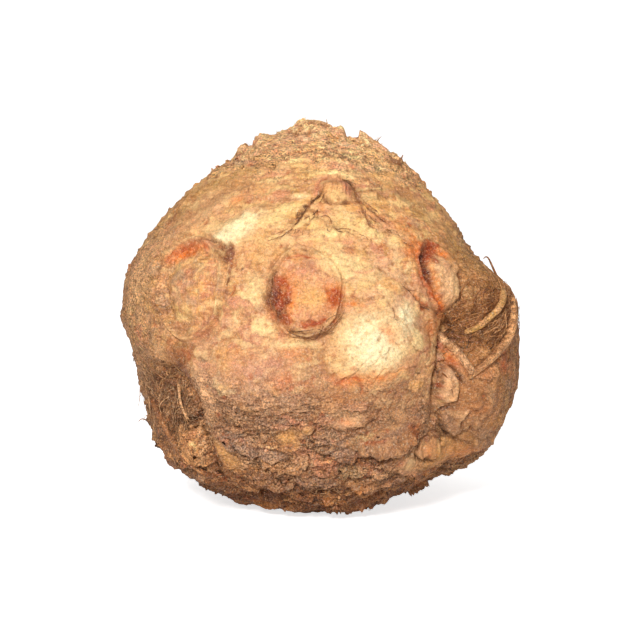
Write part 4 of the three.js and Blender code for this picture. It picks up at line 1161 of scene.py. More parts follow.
    def _line(self) -> None:
        """Adds ridges, folds and streaks, and colours them and the creases, which are cut already."""
        for line in CREASES + LINES:
            margin = 4 * line.width * max(1, line.tint) + 2 * line.lip_reach * (line.lip > 0)
            near, gap, share, signed = along(self.frayed, line, margin)
            taper = np.sqrt(np.sin(np.pi * np.clip(share, 0.02, 0.98)))
            if line not in CREASES:
                self.radius[near] -= line.depth * np.exp(-((gap / line.width) ** 2)) * taper
            if line.lip:
                rise = smooth(0, 0.7, signed) * np.exp(-np.clip(signed, 0, None) / line.lip_reach)
                self.radius[near] += line.lip * taper * rise
            if line.tone:
                weight = np.zeros(len(self.d))
                power = 4 if line.tone in STAINS and line.width > 1.1 else 2
                spread = np.exp(-((gap / (line.width * line.tint)) ** power)) * taper
                weight[near] = line.strength * spread * np.clip(self.patches[near], 0.3, 1.3)
                self.blend(line.tone, weight)

    def _speckle(self) -> None:
        """Scatters small dark pores and rusty freckles over the random cells whose value passes a share."""
        for size, tone, share in ((1.7, UMBER, 0.72), (3.4, RUST, 0.7), (2.3, BROWN, 0.5)):
            near, _, value, _ = self.cells(self.points / size + 5 * size)
            spot = smooth(0.34, 0.16, near) * (value > share)
            self.blend(tone, 0.45 * spot * (1 - 0.6 * self.gloss))
            self.radius -= 0.1 * spot

    def _weather_shade_and_light(self) -> None:
        """Warms all the skin a little, browns it towards the ground and pales it on the crown, partly as
        painted shade and painted light.
        """
        up = self.elevation
        face = smooth(52, 32, np.abs(self.azimuth)) * smooth(36, 26, up)
        shade = np.array([WARMTH])
        # Painted shade towards the ground and painted light on the crown, over the skin's own changes of
        # colour.
        for cover, change in (
            (smooth(-18, -34, up), LOW_BROWNING_AND_SHADE),
            (smooth(-40, -56, up), FOOT_BROWNING_AND_SHADE),
            (smooth(48, 62, up), CROWN_PALING_AND_LIGHT),
            (face, FACE_COOLING),
        ):
            shade = shade + cover[:, None] * change
        self.tone *= shade

    def _stand_on_ground(self) -> None:
        """Cuts the tuber flat at the ground, with the pale trimmed flesh and its rings."""
        depth = -self.d[:, 2] * self.radius
        cut = smooth(CORE[2] - 0.6, CORE[2] + 0.3, depth)
        reach_down = CORE[2] / np.maximum(-self.d[:, 2], 0.1)
        level = np.hypot(self.d[:, 0], self.d[:, 1]) * reach_down
        rings = 0.5 + 0.5 * np.sin(level * 1.9 + 1.5 * self.waves(4))
        self.blend(FLESH, 0.8 * cut)
        self.blend(BROWN, cut * (0.25 + 0.35 * rings))
        self.radius = np.where(depth > CORE[2], reach_down, self.radius)


# ---------------------------------------------------------------- meshes


def join_mesh(name: str, points: Array, faces: Array, uv: Array | None = None) -> Piece:
    """Makes an object from points in millimetres and faces, with smooth shading.

    Args:
        name: the object's name.
        points: one row for each vertex.
        faces: one row of vertex numbers for each face, all with as many corners.
        uv: one row for each face corner, in the order of the faces.

    Returns:
        The new object, at the origin and linked to the scene.
    """
    mesh = bpy.data.meshes.new(name)
    corners = faces.shape[1]
    mesh.vertices.add(len(points))
    mesh.vertices.foreach_set("co", (points * MM).astype(np.float32).ravel())
    mesh.loops.add(faces.size)
    mesh.loops.foreach_set("vertex_index", faces.astype(np.int32).ravel())
    mesh.polygons.add(len(faces))
    mesh.polygons.foreach_set("loop_start", np.arange(0, faces.size, corners, dtype=np.int32))
    mesh.polygons.foreach_set("use_smooth", np.ones(len(faces), dtype=bool))
    if uv is not None:
        layer = mesh.uv_layers.new(name="OFBake")
        layer.data.foreach_set("uv", uv.astype(np.float32).ravel())
    mesh.update(calc_edges=True)
    mesh.validate()
    made = bpy.data.objects.new(name, mesh)
    bpy.context.scene.collection.objects.link(made)
    return made


def paint(made: Piece, name: str, values: Array) -> None:
    """Stores one number or one linear colour for each vertex.

    Args:
        made: the object.
        name: the attribute's name.
        values: one number, or one row of red, green and blue, for each vertex.
    """
    if values.ndim == 1:
        layer = made.data.attributes.new(name, "FLOAT", "POINT")
        layer.data.foreach_set("value", values.astype(np.float32))
        return
    layer = made.data.attributes.new(name, "FLOAT_COLOR", "POINT")
    rgba = np.concatenate([np.clip(values, 0, 1), np.ones((len(values), 1))], axis=1)
    layer.data.foreach_set("color", rgba.astype(np.float32).ravel())


def grid_faces(rows: int, columns: int, wrap: bool) -> Array:
    """Returns the four-sided faces of a grid of points stored row by row.

    Args:
        rows: how many rows of points.
        columns: how many points are in a row.
        wrap: whether each row closes on itself.
    """
    i, j = np.meshgrid(np.arange(rows - 1), np.arange(columns if wrap else columns - 1), indexing="ij")
    k = (j + 1) % columns
    row, after = i * columns, (i + 1) * columns
    return np.stack([row + j, row + k, after + k, after + j], axis=-1).reshape(-1, 4)


def weld(made: Piece) -> None:
    """Merges points that lie together, which closes seams and tips."""
    shape = bmesh.new()
    shape.from_mesh(made.data)
    bmesh.ops.remove_doubles(shape, verts=shape.verts, dist=WELD_GAP * MM)
    shape.to_mesh(made.data)
    shape.free()


@dataclass
class Heap:
    """Surfaces gathered into one mesh, each a grid whose rows are rings."""

    points: list[Array] = field(default_factory=list)
    faces: list[Array] = field(default_factory=list)
    tones: list[Array] = field(default_factory=list)
    count: int = 0

    def add(self, rings: Array, tone: Array) -> None:
        """Adds surfaces whose rows are closed rings.

        Args:
            rings: points by surface, row and place round the ring, with the surface left out for one.
            tone: a linear colour for each point, or for anything that spreads over them.
        """
        rings = rings if rings.ndim == 4 else rings[None]
        many, rows, sides, _ = rings.shape
        start = self.count + np.arange(many) * rows * sides
        faces = grid_faces(rows, sides, True)[None] + start[:, None, None]
        self.points.append(rings.reshape(-1, 3))
        self.faces.append(faces.reshape(-1, 4))
        self.tones.append(np.broadcast_to(tone, rings.shape).reshape(-1, 3))
        self.count += many * rows * sides

    def build(self, name: str) -> Piece:
        """Makes the object."""
        made = join_mesh(name, np.concatenate(self.points), np.concatenate(self.faces))
        paint(made, "tone", np.concatenate(self.tones))
        weld(made)
        return made


def tubes(paths: Array, radii: Array, sides: int, wobble: Array | float = 1.0) -> Array:
    """Carries a round section along paths and closes both ends.

    The section at each point is a circle square to the path, in a frame made from the path's
    direction and one fixed direction. The first and last rings shrink to a point.

    Args:
        paths: the middle lines' points, by path and step.
        radii: the radius at each of them.
        sides: how many sides the section has.
        wobble: a factor on the radius that spreads over path, step and side.

    Returns:
        The rings, by path, step and side.
    """
    run = unit(np.gradient(paths, axis=1))
    side = unit(np.cross(run, np.array([0.31, 0.52, 0.79])))
    other = np.cross(run, side)
    turn = np.arange(sides) * 2 * np.pi / sides
    ring = side[..., None, :] * np.cos(turn)[:, None] + other[..., None, :] * np.sin(turn)[:, None]
    reach_out = (radii[..., None] * wobble)[..., None]
    rings = paths[..., None, :] + ring * reach_out
    ends = paths[:, [0, -1], None].repeat(sides, axis=2)
    return np.concatenate([ends[:, :1], rings, ends[:, 1:]], axis=1)


def mixed(first: Tone, second: Tone, share: Array) -> Array:
    """Returns the linear colours between two tones at shares from 0 to 1."""
    part = np.clip(share, 0, 1)[..., None]
    return first.linear * (1 - part) + second.linear * part


def layered(tone: Array, shades: tuple[tuple[Tone, Array], ...]) -> Array:
    """Returns linear colours with each shade mixed in by its share, in their order."""
    for shade, share in shades:
        tone = tone * (1 - share[..., None]) + shade.linear * share[..., None]
    return tone


# ---------------------------------------------------------------- materials


class Nodes:
    """A short way to place and link shader nodes."""

    def __init__(self, tree: bpy.types.NodeTree) -> None:
        """Works in a node tree.

        Args:
            tree: the tree of a material or a group.
        """
        self.tree = tree

    def add(self, kind: str, **values: object) -> bpy.types.Node:
        """Adds a node and sets its sockets and properties.

        Args:
            kind: the node's type, without its ShaderNode prefix.
            values: a socket value or link by its name with underscores, or a property in lower case.

        Returns:
            The node.
        """
        prefix = "" if kind.startswith(("Node", "Shader")) else "ShaderNode"
        node = self.tree.nodes.new(prefix + kind)
        for key, value in values.items():
            if key[0].islower():
                setattr(node, key, value)
                continue
            numbered = key.startswith("In") and key[2:].isdigit()
            socket = node.inputs[int(key[2:]) if numbered else key.replace("_", " ")]
            if isinstance(value, Socket):
                self.tree.links.new(value, socket)
            else:
                socket.default_value = value
        return node

    def math(self, operation: str, *values: object) -> Socket:
        """Returns the result of a math node on up to three values or sockets."""
        node = self.add("Math", operation=operation, **{f"In{i}": v for i, v in enumerate(values)})
        return node.outputs[0]

    def times(self, value: Socket, factor: object, more: object = None) -> Socket:
        """Returns a value times a factor, plus more where it is given."""
        if more is None:
            return self.math("MULTIPLY", value, factor)
        return self.math("MULTIPLY_ADD", value, factor, more)

    def fade(self, value: Socket, low: float, high: float) -> Socket:
        """Returns a value stretched from low to high onto 0 to 1 and held there."""
        return self.add("MapRange", Value=value, From_Min=low, From_Max=high).outputs[0]

    def mix(self, share: object, first: object, second: object, blend: str = "MIX") -> Socket:
        """Returns two colours mixed by a share."""
        node = self.add("Mix", data_type="RGBA", blend_type=blend)
        for socket, value in zip((node.inputs[0], node.inputs[6], node.inputs[7]), (share, first, second)):
            if isinstance(value, Socket):
                self.tree.links.new(value, socket)
            else:
                socket.default_value = value
        return node.outputs[2]

    def noise(self, vector: object, size: float, detail: float = 3, rough: float = 0.6) -> Socket:
        """Returns noise with features of a size in millimetres, from 0 to 1."""
        scale = 1 / (size * MM)
        return self.add("TexNoise", Vector=vector, Scale=scale, Detail=detail, Roughness=rough).outputs[0]


def grain_group() -> bpy.types.NodeTree:
    """Builds the node group that every plant surface shares: fine mottling, fibres, pores and relief.

    Returns:
        The group. Its inputs are Tone, Coarse, Fibre and Gloss, its outputs Colour, Height and Roughness.
    """
    group = bpy.data.node_groups.new("PlantGrain", "ShaderNodeTree")
    face = group.interface
    face.new_socket("Tone", in_out="INPUT", socket_type="NodeSocketColor")
    for name in ("Coarse", "Fibre", "Gloss"):
        face.new_socket(name, in_out="INPUT", socket_type="NodeSocketFloat")
    face.new_socket("Colour", in_out="OUTPUT", socket_type="NodeSocketColor")
    for name in ("Height", "Roughness"):
        face.new_socket(name, in_out="OUTPUT", socket_type="NodeSocketFloat")
    rusty, golden, pale_glint = (0.72, 0.24, 0.06, 1), (0.8, 0.42, 0.17, 1), (0.95, 0.8, 0.55, 1)
    old_rose, fresh_rose = (0.5, 0.36, 0.36, 1), (0.84, 0.42, 0.26, 1)
    old_pore, fresh_pore, vein = (0.14, 0.055, 0.02, 1), (0.34, 0.12, 0.035, 1), (0.34, 0.11, 0.04, 1)
    n = Nodes(group)
    given = n.add("NodeGroupInput").outputs
    place = n.add("TexCoord").outputs["Object"]
    drawn = n.add("Mapping", Vector=place, Scale=(1, 1, 0.14)).outputs[0]
    flat = n.add("Mapping", Vector=place, Scale=(0.22, 0.22, 1)).outputs[0]
    grain = n.add("TexNoise", Vector=place, Scale=1 / (0.6 * MM), Detail=3, Roughness=0.6)
    light, hue, spots = n.add("SeparateColor", In0=grain.outputs["Color"]).outputs
    fine, mottle = n.noise(place, 0.36, 2), n.noise(place, 2.4)
    strands, layers = n.noise(drawn, 0.5), n.noise(flat, 0.7)
    # How light and clean the surface's own tone is, read from its green.
    clean = n.fade(n.add("SeparateColor", In0=given["Tone"]).outputs[1], 0.75, 0.5)
    # Rusty, rosy and golden mottling.
    colour = n.mix(n.times(n.fade(hue, 0.52, 0.68), 0.34), given["Tone"], rusty)
    colour = n.mix(n.times(n.fade(hue, 0.48, 0.34), 0.3), colour, n.mix(clean, old_rose, fresh_rose))
    colour = n.mix(n.times(n.fade(mottle, 0.5, 0.7), 0.3), colour, golden)
    # Light and dark grain, stronger on the coarse skin, and streaks where there are fibres.
    level = n.times(n.fade(light, 0.36, 0.64), 0.4, -0.2)
    for wave in (fine, layers):
        level = n.times(n.fade(wave, 0.3, 0.7), 0.3, n.math("SUBTRACT", level, 0.15))
    level = n.times(level, n.times(given["Coarse"], 1.9, 0.9), 1)
    streak = n.times(n.math("SUBTRACT", n.fade(strands, 0.3, 0.7), 0.5), given["Fibre"], 1)
    level = n.times(level, streak)
    bright = n.add("CombineColor", In0=level, In1=level, In2=level).outputs[0]
    colour = n.mix(1, colour, bright, "MULTIPLY")
    # Dark pores, pale specks that are painted glints, and thin broken veins.
    speckled = n.times(given["Coarse"], 0.45, n.times(clean, 0.3, 0.1))
    dark = n.times(n.fade(spots, 0.6, 0.68), speckled)
    colour = n.mix(dark, colour, n.mix(clean, old_pore, fresh_pore))
    colour = n.mix(n.times(n.fade(spots, 0.4, 0.32), 0.3), colour, pale_glint)
    contour = n.math("ABSOLUTE", n.math("SUBTRACT", n.noise(place, 4.6, 3, 0.55), 0.5))
    veins = n.times(n.times(n.fade(contour, 0.017, 0.004), clean), n.fade(mottle, 0.42, 0.58))
    colour = n.mix(n.times(veins, 0.42), colour, vein)
    height = n.times(light, 0.9, n.times(fine, 0.45))
    height = n.times(n.times(strands, given["Fibre"]), 0.8, height)
    height = n.times(layers, 0.5, n.times(veins, -0.5, height))
    height = n.times(height, n.times(given["Coarse"], 1.6, 0.35))
    rough = n.times(n.math("SUBTRACT", fine, 0.5), 0.25, n.times(given["Gloss"], -0.34, 0.7))
    n.add("NodeGroupOutput", Colour=colour, Height=height, Roughness=rough)
    return group


@dataclass(frozen=True)
class PlantFinish:
    """A plant surface: the tone stored on the mesh, with fine grain, fibres and relief over it."""

    name: str
    coarse: float | None = None
    fibre: float | None = None
    gloss: float | None = None
    relief: float = 0.3
    shine: float = 0.22

    def make(self, grain: bpy.types.NodeTree) -> Material:
        """Builds the material.

        Args:
            grain: the shared node group.

        Returns:
            The material. A mask with no number of its own is read from the mesh.
        """
        material = bpy.data.materials.new(self.name)
        material.use_nodes = True
        n = Nodes(material.node_tree)
        shader = material.node_tree.nodes["Principled BSDF"]
        group = n.add("Group", node_tree=grain)
        tone = n.add("Attribute", attribute_name="tone").outputs["Color"]
        material.node_tree.links.new(tone, group.inputs["Tone"])
        for label, value in (("Coarse", self.coarse), ("Fibre", self.fibre), ("Gloss", self.gloss)):
            if value is None:
                mask = n.add("Attribute", attribute_name=label.lower()).outputs["Fac"]
                material.node_tree.links.new(mask, group.inputs[label])
            else:
                group.inputs[label].default_value = value
        bump = n.add("Bump", Height=group.outputs["Height"], Distance=self.relief * MM, Strength=1.0)
        material.node_tree.links.new(group.outputs["Colour"], shader.inputs["Base Color"])
        material.node_tree.links.new(group.outputs["Roughness"], shader.inputs["Roughness"])
        material.node_tree.links.new(bump.outputs[0], shader.inputs["Normal"])
        shader.inputs["Specular IOR Level"].default_value = self.shine
        return material


# ---------------------------------------------------------------- the sub-assemblies


def keep(made: Piece, finish: Material, slot: str, *nodes: str) -> Piece:
    """Dresses a piece and ties it to the part.

    Args:
        made: the piece.
        finish: its material.
        slot: the record's material slot. It is not used.
        nodes: the CAD nodes that it stands for.

    Returns:
        The piece.
    """
    made.data.materials.append(finish)
    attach(made, BODY)
    if nodes:
        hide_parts(*nodes)
    LOG.info("%s: %d faces", made.name, len(made.data.polygons))
    return made


@dataclass
class Tuber:
    """The swollen tuber, a box grid blown up into a sphere and carried out to the skin."""

    cells: int = 128
    front_weight: float = 0.2
    atlas_margin: float = 0.004
    recess: float = 2.6
    seam: Place = (0.965, 0.91)

    def grid(self) -> tuple[Array, Array, Array]:
        """Works out the grid.

        Each face of a box is a square grid. Its steps are evened by the tangent, the point is brought
        to the unit sphere, pulled towards the front and brought to the sphere again. Points on the
        box's edges belong to two or three faces and are merged.

        Returns:
            The directions, the faces and the place of each face corner in the texture sheet.
        """
        n = self.cells
        i, j = np.meshgrid(np.arange(n + 1), np.arange(n + 1), indexing="ij")
        lattice, faces, sheet = [], [], []
        for side, (axis, end) in enumerate(itertools.product(range(3), (0, n))):
            points = np.empty((n + 1, n + 1, 3), dtype=int)
            points[..., axis] = end
            points[..., (axis + 1) % 3] = i
            points[..., (axis + 2) % 3] = j
            quads = grid_faces(n + 1, n + 1, False)
            quads = quads if end == 0 else quads[:, ::-1]
            lattice.append(points.reshape(-1, 3))
            faces.append(quads + side * (n + 1) ** 2)
            share = self.atlas_margin + (1 - 2 * self.atlas_margin) * np.stack([i, j], axis=-1) / n
            corner = np.array([side % 3, side // 3])
            sheet.append(((share + corner) / np.array([3, 2])).reshape(-1, 2)[quads].reshape(-1, 2))
        lattice = np.concatenate(lattice)
        key = (lattice[:, 0] * (n + 1) + lattice[:, 1]) * (n + 1) + lattice[:, 2]
        _, first, number = np.unique(key, return_index=True, return_inverse=True)
        box = np.tan((2 * lattice[first] / n - 1) * np.pi / 4)
        d = unit(unit(box) + np.array([0, -self.front_weight, 0]))
        return d, number.reshape(-1)[np.concatenate(faces)], np.concatenate(sheet)

    def build(self, finish: Material) -> Piece:
        """Makes the tuber with its relief and colours."""
        d, faces, sheet = self.grid()
        skin = Skin(d)
        skin.radius -= self.recess * smooth(*self.seam, FrontSkin.rim(d))
        made = skin.mesh("tuber_skin", faces, sheet)
        return keep(made, finish, "skin", "tuber")


@dataclass
class FrontSkin:
    """The tuber's front, with its buds, scars and plates: a finer piece laid into the tuber's recess."""

    cells: int = 312
    lift: float = 0.03
    tuck: float = 1.2
    seam: float = 0.972
    margin: float = 0.03

    reach: ClassVar[float] = 0.875

    @classmethod
    def rim(cls, d: Array) -> Array:
        """Returns how far directions are from straight ahead, where 1 is the piece's rim."""
        return np.where(d[:, 1] < 0, np.hypot(d[:, 0], d[:, 2]) / cls.reach, FAR)

    def build(self, finish: Material) -> Piece:
        """Makes the piece.

        A square grid is drawn in to a disc and thrown back onto the sphere of directions, so that its
        steps look even from the front. Its rim is tucked under the tuber's own skin, and a fan of
        faces closes it behind.
        """
        n = self.cells
        a, b = np.meshgrid(np.linspace(-1, 1, n + 1), np.linspace(-1, 1, n + 1), indexing="ij")
        x = self.reach * a * np.sqrt(1 - b**2 / 2)
        z = self.reach * b * np.sqrt(1 - a**2 / 2)
        d = np.stack([x, -np.sqrt(1 - x**2 - z**2), z], axis=-1).reshape(-1, 3)
        back = np.array([[0.0, -1.0, 0.0]])
        skin = Skin(np.concatenate([d, back]))
        skin.radius += self.lift - self.tuck * smooth(self.seam, 1, self.rim(skin.d))
        skin.radius[-1] = SKIN_RADIUS * math.sqrt(1 - self.reach**2) - self.tuck
        quads = grid_faces(n + 1, n + 1, False)[:, [0, 3, 2, 1]]
        top = np.concatenate([quads[:, [0, 1, 2]], quads[:, [0, 2, 3]]])
        line, last = np.arange(n), n * (n + 1)
        ring = np.concatenate([line * (n + 1), last + line, (n - line) * (n + 1) + n, n - line])
        after = np.roll(ring, -1)
        fan = np.stack([after, ring, np.full(len(ring), len(d))], axis=-1)
        share = (np.stack([a, b], axis=-1).reshape(-1, 2) + 1) / 2
        sheet = share * (1 - 2 * self.margin) + self.margin
        k = np.arange(len(ring)) / len(ring)
        low = self.margin / 3
        across = np.stack([k + 0.5 / len(ring), k, k], axis=-1)
        strip = np.stack([across, np.tile([low, low, 0], (len(ring), 1))], axis=-1)
        uv = np.concatenate([sheet[top].reshape(-1, 2), strip.reshape(-1, 2)])
        return keep(skin.mesh("front_skin", np.concatenate([top, fan]), uv), finish, "skin")


def tangents(d: Array, heading: Array | float) -> tuple[Array, Array]:
    """Returns two unit vectors along the skin: one at a heading from the right towards up, and its left.

    Args:
        d: directions from the tuber's centre.
        heading: degrees.
    """
    east = unit(np.stack([-d[..., 1], d[..., 0], 0 * d[..., 0]], axis=-1))
    north = np.cross(d, east)
    a = np.radians(heading)[..., None] if np.ndim(heading) else math.radians(heading)
    along_it = east * np.cos(a) + north * np.sin(a)
    return along_it, np.cross(d, along_it)


@dataclass(frozen=True)
class RootPath:
    """A side root: its radii at its two ends, and its middle line's azimuths, elevations and heights."""

    radii: Place
    through: tuple[Point, ...]
    tones: tuple[Tone, Tone] = (TAN, BROWN)


@dataclass
class SideRoots:
    """The side roots that cling to the tuber, each torn off at its far end."""

    roots: tuple[RootPath, ...] = (
        RootPath((1.3, 1.2), ((42.4, 1.2, -0.6), (44.5, -1.9, 0.5), (46.4, -4.6, 1.2), (47.6, -7.3, 1.4),
                              (49.2, -11, 1)), (PALE_TAN, BROWN)),
        RootPath((0.9, 1.6), ((48.2, -12.4, 0.5), (50.5, -9.8, 1.1), (54, -7.3, 1.5), (57.8, -5, 1.8),
                              (62.3, -1.9, 1.8), (65.6, 1.4, 1.4), (68.4, 5, 0.6), (71, 8.4, -0.8))),
        RootPath((0.8, 1.15), ((51.6, 0, 0.6), (54.4, 1.7, 1.6), (56.1, 3.7, 2), (58.2, 5.6, 2.1),
                               (61, 8, 1.7), (64, 9.6, 0.7), (67, 10.2, -0.9)), (TAN, OLIVE)),
        RootPath((0.5, 0.3), ((-53.6, -16.6, 0.2), (-53.1, -18, 1.2), (-52.2, -20.7, 1.8), (-50, -23.2, 1.8),
                              (-46.6, -25.8, 0.9)), (PALE_TAN, TAN)),
        RootPath((1.2, 0.8), ((-68, -22, 0.3), (-59, -30, 0.8), (-50, -38, 0.9), (-43, -46, 0.5)),
                 (BROWN, UMBER)),
        RootPath((2.1, 1.3), ((150, 24, 0.6), (146, 8, 1.4), (149, -8, 1.6), (152, -24, 1))),
        RootPath((1.8, 1.2), ((160, -10, 0.5), (153, -30, 1.2), (142, -34, 1.4), (129, -42, 0.8))),
        RootPath((1.9, 1.2), ((-151, 28, 0.6), (-146, 12, 1.4), (-149, -6, 1.5), (-147, -26, 0.9))),
        RootPath((1.8, 1.1), ((-99, -16, 0.6), (-105, -28, 1.2), (-115, -38, 1.3), (-127, -48, 0.7))),
        RootPath((1.9, 1.2), ((100, 6, 0.6), (104, -12, 1.4), (101, -28, 1.4), (108, -44, 0.8))),
    )
    sides: int = 20
    steps: int = 70
    seed: int = 100

    def shape(self, root: RootPath, seed: int) -> tuple[Array, Array]:
        """Works out one root.

        The middle line is a Catmull-Rom curve through the knots, shaken a little. The radius runs from
        one end's to the other's, with slow swellings, cross wrinkles and lengthwise ribs, narrows at
        both ends, and frays at the torn end.

        Args:
            root: its path.
            seed: picks its irregularities.

        Returns:
            The rings and the colour of each of their points.
        """
        noise = GradientNoise(seed)
        knots = np.array(root.through)
        t = np.linspace(0, 1, self.steps)
        path = through_values(knots, t * (len(knots) - 1))
        d = direction(path[:, 0], path[:, 1])
        shake = np.stack([noise(CORE + d * 7 + 9 * k) for k in range(3)], axis=-1)
        line = on_skin(d, path[:, 2]) + 0.5 * shake
        turn = np.arange(self.sides) * 2 * np.pi / self.sides
        grid_t, grid_a = np.meshgrid(t, turn, indexing="ij")
        spots = np.stack([grid_t * 9, np.cos(grid_a), np.sin(grid_a)], axis=-1).reshape(-1, 3)
        swell = noise(spots * [1, 0.5, 0.5]).reshape(grid_t.shape)
        wrinkle = noise(spots * [5, 1.0, 1.0] + 5).reshape(grid_t.shape)
        ribs = noise(spots * [0.8, 3, 3] + 11).reshape(grid_t.shape)
        ends = np.sqrt(np.clip(1 - np.clip((np.abs(grid_t - 0.5) - 0.43) / 0.07, 0, 0.97) ** 2, 0, 1))
        fray = 1 + 0.5 * smooth(0.9, 1, grid_t) * ribs
        wobble = (1 + 0.24 * swell + 0.14 * wrinkle + 0.24 * ribs) * ends * fray
        radii = root.radii[0] + (root.radii[1] - root.radii[0]) * t
        rings = tubes(line[None], radii[None], self.sides, wobble[None])[0]
        tone = mixed(root.tones[0], root.tones[1], 0.5 + 0.9 * swell + 0.6 * wrinkle)
        dirt, torn = smooth(0, 0.5, ribs) * 0.55, smooth(0.96, 1, grid_t) * 0.5
        tone = layered(tone, ((UMBER, dirt), (UMBER, torn)))
        return rings, np.concatenate([tone[:1], tone, tone[-1:]])

    def build(self, finish: Material) -> None:
        """Makes every side root."""
        for number, root in enumerate(self.roots, start=1):
            heap = Heap()
            heap.add(*self.shape(root, self.seed + number))
            keep(heap.build(f"side_root_{number}_bark"), finish, "side_root", f"side_root_{number}")


@dataclass(frozen=True)
class Stump:
    """A root cut short: its place, its radius and how far it stands out of the skin."""

    at: Place
    radius: float
    length: float


@dataclass
class RootStumps:
    """The roots trimmed short under the tuber, with ragged rims and hollow, stringy ends."""

    stumps: tuple[Stump, ...] = (
        Stump((-38, -56), 3.2, 2.2),
        Stump((-15, -60), 3.6, 2.4),
        Stump((9, -62), 3, 2.6),
        Stump((31, -57), 3.4, 2.4),
        Stump((70, -58), 3.6, 2.4),
        Stump((115, -58), 3.2, 2.6),
        Stump((160, -60), 3.6, 2.4),
        Stump((-150, -60), 3.4, 2.6),
        Stump((-95, -58), 3.8, 2.2),
    )
    sides: int = 36
    seed: int = 200

    def shape(self, stump: Stump, seed: int) -> tuple[Array, Array]:
        """Works out one stump.

        A profile is turned about the direction out of the skin: up the side from below the skin, over a
        ragged rim and down into a rough hollow. Ribs run up the side, and the rim's height wavers.

        Args:
            stump: its place and size.
            seed: picks its irregularities.

        Returns:
            The rings and the colour of each of their points.
        """
        noise = GradientNoise(seed)
        c = direction(*stump.at)
        east, north = tangents(c, 0.0)
        level = np.array([-1.6, -0.8, 0, 0.35, 0.7, 0.9, 1, 1, 0.9, 0.7, 0.62, 0.55, 0.5, 0.5])
        share = np.array([1.25, 1.2, 1.05, 1, 0.97, 0.94, 0.88, 0.8, 0.74, 0.68, 0.5, 0.3, 0.12, 0])
        turn = np.arange(self.sides) * 2 * np.pi / self.sides
        grid_l, grid_a = np.meshgrid(level, turn, indexing="ij")
        grid_s = np.broadcast_to(share[:, None], grid_l.shape)
        cos, sin = np.cos(grid_a), np.sin(grid_a)
        spots = np.stack([cos * grid_s, sin * grid_s, 0.2 * grid_l], axis=-1).reshape(-1, 3)
        ribs = noise(spots * 4.2).reshape(grid_l.shape)
        slow = noise(spots * 1.1 + 4).reshape(grid_l.shape)
        fine = noise(spots * 9 + 8).reshape(grid_l.shape)
        out = stump.radius * grid_s * (1 + 0.22 * slow + 0.12 * ribs)
        lift = np.where(grid_l > 0, stump.length, 1.0) * grid_l
        lift = lift + smooth(0.4, 1, grid_l) * stump.length * (0.5 * ribs + 0.35 * fine)
        root = on_skin(c[None])[0]
        spoke = east * cos[..., None] + north * sin[..., None]
        points = root + c * lift[..., None] + spoke * out[..., None]
        points[..., 2] = np.maximum(points[..., 2], GROUND_GAP)
        tone = mixed(BROWN, UMBER, 0.5 + 0.9 * slow + 0.5 * ribs)
        inner = (smooth(0.86, 0.6, grid_s) * np.linspace(0, 1, len(level))[:, None])[..., None]
        tone = tone * (1 - inner) + mixed(DARK, BROWN, 0.4 + fine) * inner
        return points, tone

    def build(self, finish: Material) -> None:
        """Makes every stump."""
        for number, stump in enumerate(self.stumps, start=1):
            heap = Heap()
            heap.add(*self.shape(stump, self.seed + number))
            keep(heap.build(f"root_stump_{number}_bark"), finish, "root_stump", f"root_stump_{number}")


@dataclass(frozen=True)
class LeafBase:
    """A torn leaf base.

    It has an angle about the crown, an angle from the axis, a half width in degrees of turn and a
    thickness in millimetres. It keeps a share of the crown's height, and may stand for a CAD node.
    """

    around: float
    out: float
    half: float
    thick: float
    keeps: float = 1.0
    node: str | None = None


